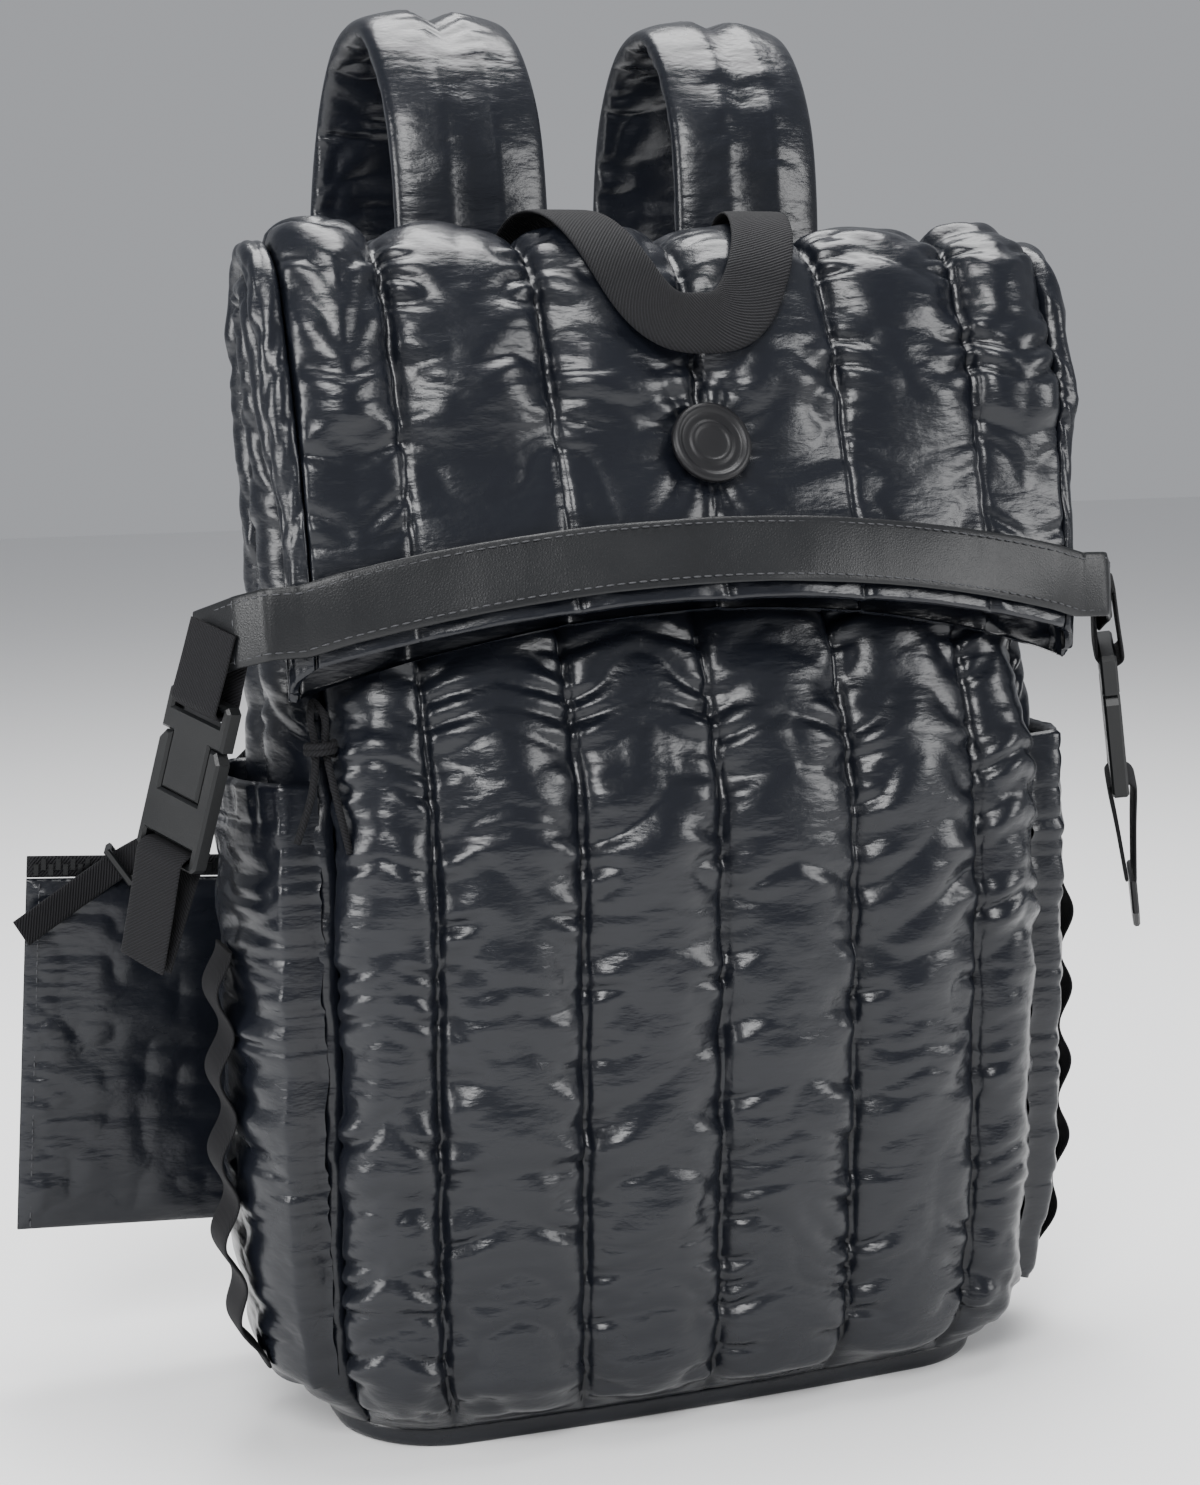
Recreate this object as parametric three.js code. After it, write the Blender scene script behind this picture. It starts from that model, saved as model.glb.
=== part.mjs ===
// Quilted puffer backpack with a folded-over top, side-release buckles and a small zip pouch.
// Millimetres, +Z up, the front faces -Y. The origin is the middle of the flat base.
// Tables give places as shares of the named sizes above them.
import * as THREE from 'three';

// Overall sizes of the body tube.
const bagWidth = 326;
const bagDepth = 128;
const crestHeight = 468;
const baseThickness = 8;
const clearance = 0.5;
const panelGap = 1.6;

// Quilting: padded channels between seams, and the wall at a seam.
const puffHeight = 8;
const seamWall = 3;
const frontCorner = 52;
const backCorner = 36;
const frontCrown = 0.2;
const cornerShare = 0.95;
const hemRise = 26;

// Folded top. The tube is flattened, folded over the front and ends in the rim.
const foldedDepth = 30;
const foldRadius = 19;
const foldStart = THREE.MathUtils.degToRad(8);
const foldEnd = THREE.MathUtils.degToRad(157);
const flapWidth = 340;
const flapLength = 124;
const rimDrop = 30;
const rimPullBack = 34;
const rimFlattening = 0.75;

// Leather band sewn round the rim. Its ends wrap back past the sides.
const bandWidth = 26;
const bandThickness = 2.4;
const bandRun = 2.86;
const bandReach = 0.95;
const bandWrapOut = 30;
const bandWrapBack = 34;

// Webbing, and the padded shoulder straps arching up and back.
const webbingWidth = 25;
const webbingThickness = 1.8;
const strapWidth = 64;
const strapPadding = 11;
const strapSpacing = 124;
const strapRise = 88;
const strapReach = 158;
const strapRows = 18;
const tabThickness = 3;
const tabLength = 26;
const tabHeight = 66;
const anchorHeight = 132;

// Side pockets and the webbing ladder sewn on them.
const pocketHeight = 262;
const pocketFoot = 30;
const pocketGap = 11;
const pocketWall = 4;
const pocketRows = 9;
const ladderPitch = 33;
const ladderLift = 6;
const ladderFoot = 34;
const ladderLoops = 5;
const ladderPlace = 0.42;

// Side-release buckles, hung from the band ends.
const buckleWidth = 34;
const buckleLength = 64;
const buckleThickness = 7;
const buckleBevel = 1;
const barThickness = 3;
const barSlot = 5;
const buckleDrop = 60;
const buckleLean = THREE.MathUtils.degToRad(14);
const buckleTurn = THREE.MathUtils.degToRad(28);
const stopWidth = 22;
const buckleFlare = THREE.MathUtils.degToRad(7);
const tailLength = 46;

// Badge, carry handle and zip cord.
const badgeRadius = 16;
const badgeThickness = 4;
const badgeRun = 2.52;
const handleSpan = 104;
const handleTop = 0.97;
const handleDroop = 2.16;
const cordDiameter = 2.8;
const cordLength = 78;
const cordHeight = 284;

// Flat zip pouch hanging behind the left side on its own strap.
const pouchWidth = 172;
const pouchHeight = 148;
const pouchThickness = 10;
const pouchSide = -158;
const pouchBack = 103;
const pouchBase = 58;
const pouchTilt = THREE.MathUtils.degToRad(4);
const pouchZipWidth = 9;
const pouchZipThickness = 4;
const pouchStrapWidth = 12;
const pouchStrapHeight = 268;
const pouchRingPlace = -0.3;

// The upright tube from base to fold, as shares of its height, width and depth.
const bodySections = [
  { height: 0.0, width: 0.93, front: 0.40, back: 0.40, lean: 0.0 },
  { height: 0.06, width: 0.985, front: 0.48, back: 0.45, lean: 0.0 },
  { height: 0.18, width: 1.0, front: 0.51, back: 0.46, lean: 0.0 },
  { height: 0.36, width: 1.0, front: 0.53, back: 0.47, lean: 0.0 },
  { height: 0.54, width: 1.0, front: 0.53, back: 0.47, lean: 0.0 },
  { height: 0.68, width: 0.995, front: 0.44, back: 0.44, lean: 0.03 },
  { height: 0.80, width: 0.99, front: 0.31, back: 0.35, lean: 0.1 },
  { height: 0.90, width: 1.005, front: 0.19, back: 0.23, lean: 0.15 },
  { height: 1.0, width: 1.02, front: 0.117, back: 0.117, lean: 0.147 },
];

// Seams of the front and back panels, as shares of the half width.
const seamShares = [-0.93, -0.70, -0.35, 0, 0.35, 0.70, 0.93];
const columnsPerChannel = 4;
const crestCentre = crestHeight - foldRadius - foldedDepth / 2;
const foldRows = 7;
const flapRows = 5;
const bodyRows = [0, 0.05, 0.14, 0.28, 0.42, 0.56, 0.68, 0.78, 0.87, 0.94];

// Shoulder strap centre line: how far back, how far above the crest, and how far out.
const strapPath = [
  { back: 0.34, rise: -0.86, out: 0.94, width: 0.9 },
  { back: 0.3, rise: -0.49, out: 0.96, width: 1.0 },
  { back: 0.278, rise: 0.02, out: 0.97, width: 1.0 },
  { back: 0.335, rise: 0.58, out: 0.98, width: 1.0 },
  { back: 0.519, rise: 0.95, out: 1.0, width: 1.0 },
  { back: 0.747, rise: 0.91, out: 1.02, width: 1.0 },
  { back: 0.918, rise: 0.52, out: 1.04, width: 0.98 },
  { back: 1.0, rise: -0.09, out: 1.07, width: 0.94 },
  { back: 0.99, rise: -0.77, out: 1.1, width: 0.86 },
  { back: 0.91, rise: -1.45, out: 1.13, width: 0.78 },
  { back: 0.76, rise: -2.05, out: 1.17, width: 0.7 },
  { back: 0.61, rise: -2.5, out: 1.22, width: 0.62 },
];

// Padding of a shoulder strap from one edge to the other, with a stitched centre.
const strapProfile = [
  { across: -0.5, half: 0.16 },
  { across: -0.42, half: 0.4 },
  { across: -0.2, half: 0.5 },
  { across: 0, half: 0.34 },
  { across: 0.2, half: 0.5 },
  { across: 0.42, half: 0.4 },
  { across: 0.5, half: 0.16 },
];

// Outline of the badge from its middle to its edge: two raised rings round a plain centre.
const badgeProfile = [
  { radius: 0, face: 0.62 },
  { radius: 0.4, face: 0.62 },
  { radius: 0.48, face: 0.88 },
  { radius: 0.6, face: 0.62 },
  { radius: 0.72, face: 0.62 },
  { radius: 0.82, face: 1 },
  { radius: 0.94, face: 0.9 },
  { radius: 1, face: 0.5 },
  { radius: 0.94, face: 0 },
  { radius: 0, face: 0 },
];

const materials = {
  quilt: new THREE.MeshStandardMaterial({ color: 0x16181c, roughness: 0.28, metalness: 0.0 }),
  lining: new THREE.MeshStandardMaterial({ color: 0x0c0d0f, roughness: 0.5, metalness: 0.0 }),
  leather: new THREE.MeshStandardMaterial({ color: 0x1c1d20, roughness: 0.42, metalness: 0.0 }),
  webbing: new THREE.MeshStandardMaterial({ color: 0x17171a, roughness: 0.85, metalness: 0.0 }),
  plastic: new THREE.MeshStandardMaterial({ color: 0x18191b, roughness: 0.38, metalness: 0.0 }),
  rubber: new THREE.MeshStandardMaterial({ color: 0x121314, roughness: 0.6, metalness: 0.0 }),
};

const bag = new THREE.Group();

function addMesh(name, geometry, material) {
  const mesh = new THREE.Mesh(geometry, material);
  mesh.name = name;
  bag.add(mesh);
  return mesh;
}

// A closed solid between two grids of points of the same size.
function slab(outer, inner) {
  const rows = outer.length;
  const cols = outer[0].length;
  const position = [];
  const index = [];
  for (const grid of [outer, inner]) {
    for (const row of grid) for (const p of row) position.push(p.x, p.y, p.z);
  }
  const at = (side, r, c) => side * rows * cols + r * cols + c;
  const quad = (a, b, c, d) => index.push(a, b, c, a, c, d);
  for (let r = 0; r < rows - 1; r++) {
    for (let c = 0; c < cols - 1; c++) {
      quad(at(0, r, c), at(0, r, c + 1), at(0, r + 1, c + 1), at(0, r + 1, c));
      quad(at(1, r, c), at(1, r + 1, c), at(1, r + 1, c + 1), at(1, r, c + 1));
    }
  }
  for (let c = 0; c < cols - 1; c++) {
    quad(at(0, 0, c), at(1, 0, c), at(1, 0, c + 1), at(0, 0, c + 1));
    quad(at(0, rows - 1, c), at(0, rows - 1, c + 1), at(1, rows - 1, c + 1), at(1, rows - 1, c));
  }
  for (let r = 0; r < rows - 1; r++) {
    quad(at(0, r, 0), at(0, r + 1, 0), at(1, r + 1, 0), at(1, r, 0));
    quad(at(0, r, cols - 1), at(1, r, cols - 1), at(1, r + 1, cols - 1), at(0, r + 1, cols - 1));
  }
  const geometry = new THREE.BufferGeometry();
  geometry.setAttribute('position', new THREE.Float32BufferAttribute(position, 3));
  geometry.setIndex(index);
  if (signedVolume(geometry) < 0) geometry.setIndex(index.reverse());
  return geometry;
}

function signedVolume(geometry) {
  const p = geometry.getAttribute('position');
  const index = geometry.index;
  const a = new THREE.Vector3();
  const b = new THREE.Vector3();
  const c = new THREE.Vector3();
  let sum = 0;
  for (let i = 0; i < index.count; i += 3) {
    a.fromBufferAttribute(p, index.getX(i));
    b.fromBufferAttribute(p, index.getX(i + 1));
    c.fromBufferAttribute(p, index.getX(i + 2));
    sum += a.dot(b.cross(c)) / 6;
  }
  return sum;
}

// Smooth reading of one column of a table of sections.
function readSection(table, key, column, value) {
  let i = 0;
  while (i < table.length - 2 && value > table[i + 1][key]) i++;
  const before = table[Math.max(i - 1, 0)][column];
  const from = table[i][column];
  const to = table[i + 1][column];
  const after = table[Math.min(i + 2, table.length - 1)][column];
  const t = (value - table[i][key]) / (table[i + 1][key] - table[i][key]);
  const start = (to - before) / 2;
  const end = (after - from) / 2;
  return from + t * (start + t * (3 * (to - from) - 2 * start - end + t * (2 * (from - to) + start + end)));
}

// The frame of the tube at a run: 0 to 1 up the body, 1 to 2 round the fold, 2 to 3 down the flap.
function tubeFrame(run, share) {
  if (run <= 1) {
    const section = (column) => readSection(bodySections, 'height', column, run);
    const top = crestCentre + foldRadius * Math.sin(foldStart);
    return {
      y: bagDepth * section('lean'),
      z: baseThickness + (top - baseThickness) * run,
      turn: foldStart * THREE.MathUtils.smoothstep(run, 0.8, 1),
      halfWidth: (bagWidth / 2) * section('width'),
      front: bagDepth * section('front'),
      back: bagDepth * section('back'),
    };
  }
  const half = foldedDepth / 2;
  const foldShare = Math.min(run - 1, 1);
  const turn = foldStart + (foldEnd - foldStart) * foldShare;
  const centre = bagDepth * bodySections.at(-1).lean - foldRadius * Math.cos(foldStart);
  const along = Math.max(run - 2, 0) * (flapLength + rimDrop * share * share);
  const widen = THREE.MathUtils.smoothstep(run, 1, 1.8);
  return {
    y: centre + foldRadius * Math.cos(turn) - Math.sin(turn) * along
      + rimPullBack * share ** 2 * Math.max(run - 2, 0) ** 2,
    z: crestCentre + foldRadius * Math.sin(turn) + Math.cos(turn) * along,
    turn,
    halfWidth: THREE.MathUtils.lerp((bagWidth / 2) * bodySections.at(-1).width, flapWidth / 2, widen),
    front: half,
    back: half,
  };
}

// The outline of one section. The front and back are flat or gently crowned with round corners.
function sectionPoint(panel, t, frame) {
  const { halfWidth, front, back } = frame;
  const cornerFront = Math.min(frontCorner, front * cornerShare);
  const cornerBack = Math.min(backCorner, back * cornerShare);
  const facing = (share, depth, corner) => {
    const x = halfWidth * share;
    const past = Math.max(Math.abs(x) - (halfWidth - corner), 0);
    return { x, depth: depth - corner + Math.sqrt(corner ** 2 - past ** 2) };
  };
  if (panel === 'front' || panel === 'back') {
    const point = facing(t, panel === 'front' ? front : back, panel === 'front' ? cornerFront : cornerBack);
    return { x: point.x, depth: panel === 'front' ? -crowned(point, frame) : point.depth };
  }
  const edge = halfWidth * seamShares.at(-1);
  const fromAngle = Math.asin(Math.max(1 - (halfWidth - edge) / cornerFront, 0));
  const toAngle = Math.asin(Math.max(1 - (halfWidth - edge) / cornerBack, 0));
  const lengths = [
    cornerFront * (Math.PI / 2 - fromAngle),
    front - cornerFront + back - cornerBack,
    cornerBack * (Math.PI / 2 - toAngle),
  ];
  let run = t * (lengths[0] + lengths[1] + lengths[2]);
  const point = { x: halfWidth, depth: 0 };
  if (run < lengths[0]) {
    const angle = fromAngle + run / cornerFront;
    point.x = halfWidth - cornerFront + cornerFront * Math.sin(angle);
    point.depth = front - cornerFront + cornerFront * Math.cos(angle);
    point.depth = -crowned(point, frame);
  } else if ((run -= lengths[0]) < lengths[1]) {
    const frontEnd = -crowned({ x: halfWidth, depth: front - cornerFront }, frame);
    point.depth = THREE.MathUtils.lerp(frontEnd, back - cornerBack, run / lengths[1]);
  } else {
    const angle = Math.PI / 2 - (run - lengths[1]) / cornerBack;
    point.x = halfWidth - cornerBack + cornerBack * Math.sin(angle);
    point.depth = back - cornerBack + cornerBack * Math.cos(angle);
  }
  if (panel === 'left') point.x = -point.x;
  return point;
}

// The front stands proud in its middle where the body is full.
function crowned(point, frame) {
  const fullness = frame.front - foldedDepth / 2;
  return point.depth - frontCrown * fullness * (point.x / frame.halfWidth) ** 2;
}

// A point of the tube: a panel, a place across it and a run along the tube.
function tubePoint(panel, t, run) {
  const rough = sectionPoint(panel, t, tubeFrame(run, 0));
  const share = rough.x / tubeFrame(run, 0).halfWidth;
  const frame = tubeFrame(run, share);
  const { x, depth } = sectionPoint(panel, t, frame);
  return new THREE.Vector3(x, frame.y + depth * Math.cos(frame.turn), frame.z + depth * Math.sin(frame.turn));
}

// The tube moved outwards along its own normal.
function tubeOffset(panel, t, run, offset) {
  const step = 0.004;
  const across = tubePoint(panel, t + step, run).sub(tubePoint(panel, t - step, run));
  const up = tubePoint(panel, t, Math.min(run + step, 3)).sub(tubePoint(panel, t, Math.max(run - step, 0)));
  const normal = across.cross(up).normalize();
  const outwards = panel === 'front' || panel === 'right' ? 1 : -1;
  return tubePoint(panel, t, run).addScaledVector(normal, outwards * offset);
}

const seamLevel = -puffHeight;
const rimShare = (run) => 1 - rimFlattening * THREE.MathUtils.smoothstep(run, 2.3, 2.6);
const hemShare = (run) => THREE.MathUtils.smoothstep(run * (crestHeight - baseThickness), 0, hemRise);

// Place and puff of each grid column between a list of seams.
function columnsBetween(seams, width) {
  const columns = [];
  for (let channel = 0; channel < seams.length - 1; channel++) {
    const last = channel === seams.length - 2 ? 1 : 0;
    for (let i = 0; i < columnsPerChannel + last; i++) {
      const t = i / columnsPerChannel;
      columns.push({
        place: THREE.MathUtils.lerp(seams[channel], seams[channel + 1], t),
        puff: Math.sin(Math.PI * t) ** 0.6,
      });
    }
  }
  columns[0].place += panelGap / 2 / width;
  columns.at(-1).place -= panelGap / 2 / width;
  return columns;
}

const foldRuns = Array.from({ length: foldRows }, (_, i) => 1 + i / foldRows);
const flapRuns = Array.from({ length: flapRows + 1 }, (_, i) => 2 + i / flapRows);
const tubeRuns = [...bodyRows, ...foldRuns, ...flapRuns];

// A padded wall of the tube: its seams lie in from the outer face, its crowns on it.
function quiltedWall(panel, seams, puff, width) {
  const columns = columnsBetween(seams, width);
  const grid = (level) =>
    tubeRuns.map((run) => columns.map((c) => tubeOffset(panel, c.place, run, level(c, run))));
  return slab(
    grid((c, run) => seamLevel + puff * c.puff * hemShare(run) * rimShare(run)),
    grid(() => seamLevel - seamWall),
  );
}

const sideDepth = bagDepth * 0.75;
addMesh('front_panel', quiltedWall('front', seamShares, puffHeight, bagWidth / 2), materials.quilt);
addMesh('back_panel', quiltedWall('back', seamShares, puffHeight, bagWidth / 2), materials.quilt);
for (const side of ['left', 'right']) {
  addMesh('side_panel_' + side, quiltedWall(side, [0, 0.5, 1], puffHeight * 0.7, sideDepth), materials.quilt);
}

// A strip along stations, each with a middle point and the direction across the strip.
function ribbon(stations, width, thickness) {
  const grid = (side) =>
    stations.map(({ point, across }, i) => {
      const before = stations[Math.max(i - 1, 0)].point;
      const after = stations[Math.min(i + 1, stations.length - 1)].point;
      const face = after.clone().sub(before).cross(across).normalize();
      const middle = point.clone().addScaledVector(face, (side * thickness) / 2);
      return [-1, 1].map((edge) => middle.clone().addScaledVector(across, (edge * width) / 2));
    });
  return slab(grid(1), grid(-1));
}

// A strip lying on the tube between two sets of panel place and run.
function stationsOn(panel, places, offset) {
  const middles = places.map(({ t, run }) => tubeOffset(panel, t, run, offset));
  return middles.map((point, i) => {
    const { t, run } = places[i];
    const out = tubeOffset(panel, t, run, offset + 1).sub(point);
    const before = middles[Math.max(i - 1, 0)];
    const along = middles[Math.min(i + 1, middles.length - 1)].clone().sub(before);
    return { point, across: along.cross(out).normalize() };
  });
}

// Places a flat piece: its X across, its Y along and its Z out of its face.
function placed(geometry, origin, across, along) {
  const face = across.clone().cross(along).normalize();
  const matrix = new THREE.Matrix4().makeBasis(across, along, face).setPosition(origin);
  return geometry.applyMatrix4(matrix);
}

function outline(points) {
  return new THREE.Shape(points.map(([x, y]) => new THREE.Vector2(x, y)));
}

function boxHole(halfWidth, from, to) {
  return new THREE.Path([[-1, from], [-1, to], [1, to], [1, from]].map(([x, y]) => new THREE.Vector2(x * halfWidth, y)));
}

function plate(shape, thickness, bevel) {
  const geometry = new THREE.ExtrudeGeometry(shape, {
    depth: thickness - 2 * bevel,
    bevelEnabled: bevel > 0,
    bevelThickness: bevel,
    bevelSize: bevel,
    bevelOffset: -bevel,
    bevelSegments: 1,
    curveSegments: 4,
  });
  return geometry.translate(0, 0, bevel - thickness / 2);
}

// The base closes the tube. Its edge stands out a little under the walls.
const baseOffset = seamLevel + seamWall;
const ringPlaces = [
  ...seamShares.slice(0, -1).map((t) => ['front', t]),
  ...[0, 0.25, 0.5, 0.75].map((t) => ['right', t]),
  ...seamShares.slice(1).reverse().map((t) => ['back', t]),
  ...[1, 0.75, 0.5, 0.25].map((t) => ['left', t]),
];
const baseOutline = ringPlaces.map(([panel, t]) => tubeOffset(panel, t, 0, baseOffset)).map((p) => [p.x, p.y]);
const baseGeometry = plate(outline(baseOutline), baseThickness + clearance, 2);
addMesh('base_panel', baseGeometry.translate(0, 0, (baseThickness + clearance) / 2), materials.quilt);

// Runs up the body from heights.
const runAt = (height) => (height - baseThickness) / (crestCentre + foldRadius * Math.sin(foldStart) - baseThickness);

// Side pockets bow out from the side panel and gather in at the rim.
const pocketPlaces = [0.03, 0.12, 0.26, 0.42, 0.58, 0.74, 0.88, 0.97];
const pocketBow = (t, run) => {
  const up = run / runAt(pocketHeight);
  if (Math.abs(t - 0.5) > 0.46) return seamLevel + 3 * clearance;
  return clearance + pocketGap * Math.sin(Math.PI * t) ** 0.5 * THREE.MathUtils.smoothstep(up, 0, 0.3);
};
const pocketRuns = Array.from({ length: pocketRows }, (_, i) =>
  THREE.MathUtils.lerp(runAt(pocketFoot), runAt(pocketHeight), i / (pocketRows - 1)));
for (const side of ['left', 'right']) {
  const grid = (extra) =>
    pocketRuns.map((run) => pocketPlaces.map((t) => tubeOffset(side, t, run, pocketBow(t, run) + extra)));
  addMesh('side_pocket_' + side, slab(grid(pocketWall), grid(0)), materials.quilt);
}

// The ladder is one webbing strip sewn down between loops.
for (const side of ['left', 'right']) {
  const steps = ladderLoops * 4;
  const stations = Array.from({ length: steps + 1 }, (_, i) => {
    const run = runAt(ladderFoot + (ladderPitch * i) / 4);
    const lift = ladderLift * Math.sin((Math.PI * i) / 4) ** 2;
    const offset = pocketBow(ladderPlace, run) + pocketWall + clearance + webbingThickness / 2 + lift;
    return { point: tubeOffset(side, ladderPlace, run, offset), across: new THREE.Vector3(0, 1, 0) };
  });
  addMesh('ladder_' + side, ribbon(stations, webbingWidth, webbingThickness), materials.webbing);
}

// Leather band on the outer layer of the rim, and its lining on the inner layer.
const bandOffset = seamLevel + puffHeight * (1 - rimFlattening) + 2 * clearance + bandThickness / 2;
const bandPlaces = (reach) => [-1, -0.84, -0.66, -0.44, -0.22, 0, 0.22, 0.44, 0.66, 0.84, 1].map((share) => ({
  t: share * reach,
  run: bandRun,
}));
const bandStations = stationsOn('back', bandPlaces(bandReach), bandOffset);
const bandEnds = {};
for (const side of ['left', 'right']) {
  const hand = side === 'left' ? -1 : 1;
  const last = hand < 0 ? bandStations[0] : bandStations.at(-1);
  const wrap = [
    { out: 0.42, back: 0.04 },
    { out: 0.7, back: 0.36 },
    { out: 1, back: 1 },
  ].map(({ out, back }) => ({
    point: last.point.clone().add(new THREE.Vector3(hand * bandWrapOut * out, bandWrapBack * back, -bandWrapBack * back * 0.3)),
    across: new THREE.Vector3(0, -0.1, -1).normalize().multiplyScalar(Math.sign(-last.across.z)),
  }));
  bandEnds[side] = wrap;
}
const wholeBand = [...bandEnds.left.slice().reverse(), ...bandStations, ...bandEnds.right];
addMesh('rim_band', ribbon(wholeBand, bandWidth, bandThickness), materials.leather);
const liningStations = stationsOn('front', bandPlaces(bandReach * 0.92), bandOffset);
addMesh('rim_band_inner', ribbon(liningStations, bandWidth, bandThickness), materials.leather);

// Buckle outlines: X across, Y up towards the band, zero at the mouth of the socket.
const mouth = buckleLength * 0.4;
const socketTop = buckleLength - mouth;
const tongue = buckleWidth * 0.3;
const arm = tongue + clearance;
const half = buckleWidth / 2;
const shoulder = socketTop * 0.56;
const slotHalf = webbingWidth / 2 + clearance;
const socketShape = outline([
  [-tongue, 0], [tongue, 0], [tongue, shoulder], [half, shoulder], [half, socketTop - 2], [half - 2, socketTop],
  [2 - half, socketTop], [-half, socketTop - 2], [-half, shoulder], [-tongue, shoulder],
]);
socketShape.holes.push(boxHole(slotHalf, socketTop - barThickness - barSlot, socketTop - barThickness));
const armTop = shoulder - clearance;
const plugShape = outline([
  [2 - half, -mouth], [half - 2, -mouth], [half, 2 - mouth], [half, armTop - 4], [half - 3, armTop], [arm, armTop],
  [arm, -clearance], [-arm, -clearance], [-arm, armTop], [3 - half, armTop], [-half, armTop - 4], [-half, 2 - mouth],
]);
plugShape.holes.push(boxHole(slotHalf, barThickness - mouth, barThickness + barSlot - mouth));

// Loop of webbing round a bar: heights above the bar slot middle and places out of the face.
const barMiddle = socketTop - barThickness - barSlot / 2;
const loopFace = buckleThickness / 2 + webbingThickness;
const loopBend = [
  { y: 0, z: 0 },
  { y: 0.02, z: 0.45 },
  { y: 0.4, z: 0.95 },
  { y: 1, z: 1 },
];
const loopPath = (rise, spread) => {
  const front = [
    ...loopBend.map(({ y, z }) => ({ y: y * (barSlot / 2 + barThickness), z: z * loopFace })),
    { y: rise * 0.5, z: (loopFace + spread) / 2 },
    { y: rise, z: spread },
  ];
  const behind = front.slice(1).map(({ y, z }) => ({ y, z: -z }));
  return [...front.reverse(), ...behind];
};
for (const side of ['left', 'right']) {
  const hand = side === 'left' ? -1 : 1;
  const across = new THREE.Vector3(Math.sin(buckleTurn), hand * Math.cos(buckleTurn), 0);
  const face = new THREE.Vector3(hand * Math.cos(buckleTurn), -Math.sin(buckleTurn), 0);
  const along = new THREE.Vector3(0, 0, 1).applyAxisAngle(face, hand * buckleLean)
    .applyAxisAngle(across, -buckleFlare);
  const width = along.clone().cross(face).normalize();
  const end = bandEnds[side].at(-2).point.clone().lerp(bandEnds[side].at(-1).point, 0.5);
  const origin = end.clone().addScaledVector(along, -buckleDrop);
  const local = (x, y, z) =>
    origin.clone().addScaledVector(width, x).addScaledVector(along, y).addScaledVector(face, z);
  addMesh('buckle_socket_' + side, placed(plate(socketShape, buckleThickness, buckleBevel), origin, width, along), materials.plastic);
  addMesh('buckle_plug_' + side, placed(plate(plugShape, buckleThickness, buckleBevel), origin, width, along), materials.plastic);
  const hanger = loopPath(buckleDrop - barMiddle + bandWidth * 0.2, webbingThickness + bandThickness)
    .map(({ y, z }) => ({ point: local(0, barMiddle + y, z), across: width }));
  addMesh('buckle_loop_' + side, ribbon(hanger, webbingWidth, webbingThickness), materials.webbing);
  const plugBar = barThickness + barSlot / 2 - mouth;
  const tail = loopPath(tailLength, webbingThickness).map(({ y, z }) => ({ point: local(0, plugBar - y, z), across: width }));
  addMesh('side_strap_' + side, ribbon(tail, webbingWidth, webbingThickness), materials.webbing);
  if (side === 'right') {
    const tabShape = outline([[-0.5, 0], [0.5, 0], [0.5, -0.7], [0.25, -1.1], [-0.25, -1.1], [-0.5, -0.7]]
      .map(([x, y]) => [x * stopWidth, y * stopWidth]));
    const stopAt = local(0, plugBar - tailLength - clearance, webbingThickness);
    addMesh('strap_stop_right', placed(plate(tabShape, tabThickness, 0.8), stopAt, width, along), materials.rubber);
  }
}

// Carry handle over the crest, ends behind it and its middle drooping in front.
const handleSteps = 26;
const handlePlaces = Array.from({ length: handleSteps + 1 }, (_, i) => {
  const share = Math.sin(Math.PI * (i / handleSteps - 0.5));
  const droop = 1 - Math.abs(share) ** 3;
  return {
    t: (share * (handleSpan / 2) * 2) / flapWidth,
    run: THREE.MathUtils.lerp(handleTop, handleDroop, droop),
  };
});
const handleStations = stationsOn('back', handlePlaces, webbingThickness + clearance * 2);
addMesh('handle', ribbon(handleStations, webbingWidth, webbingThickness), materials.webbing);

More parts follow.
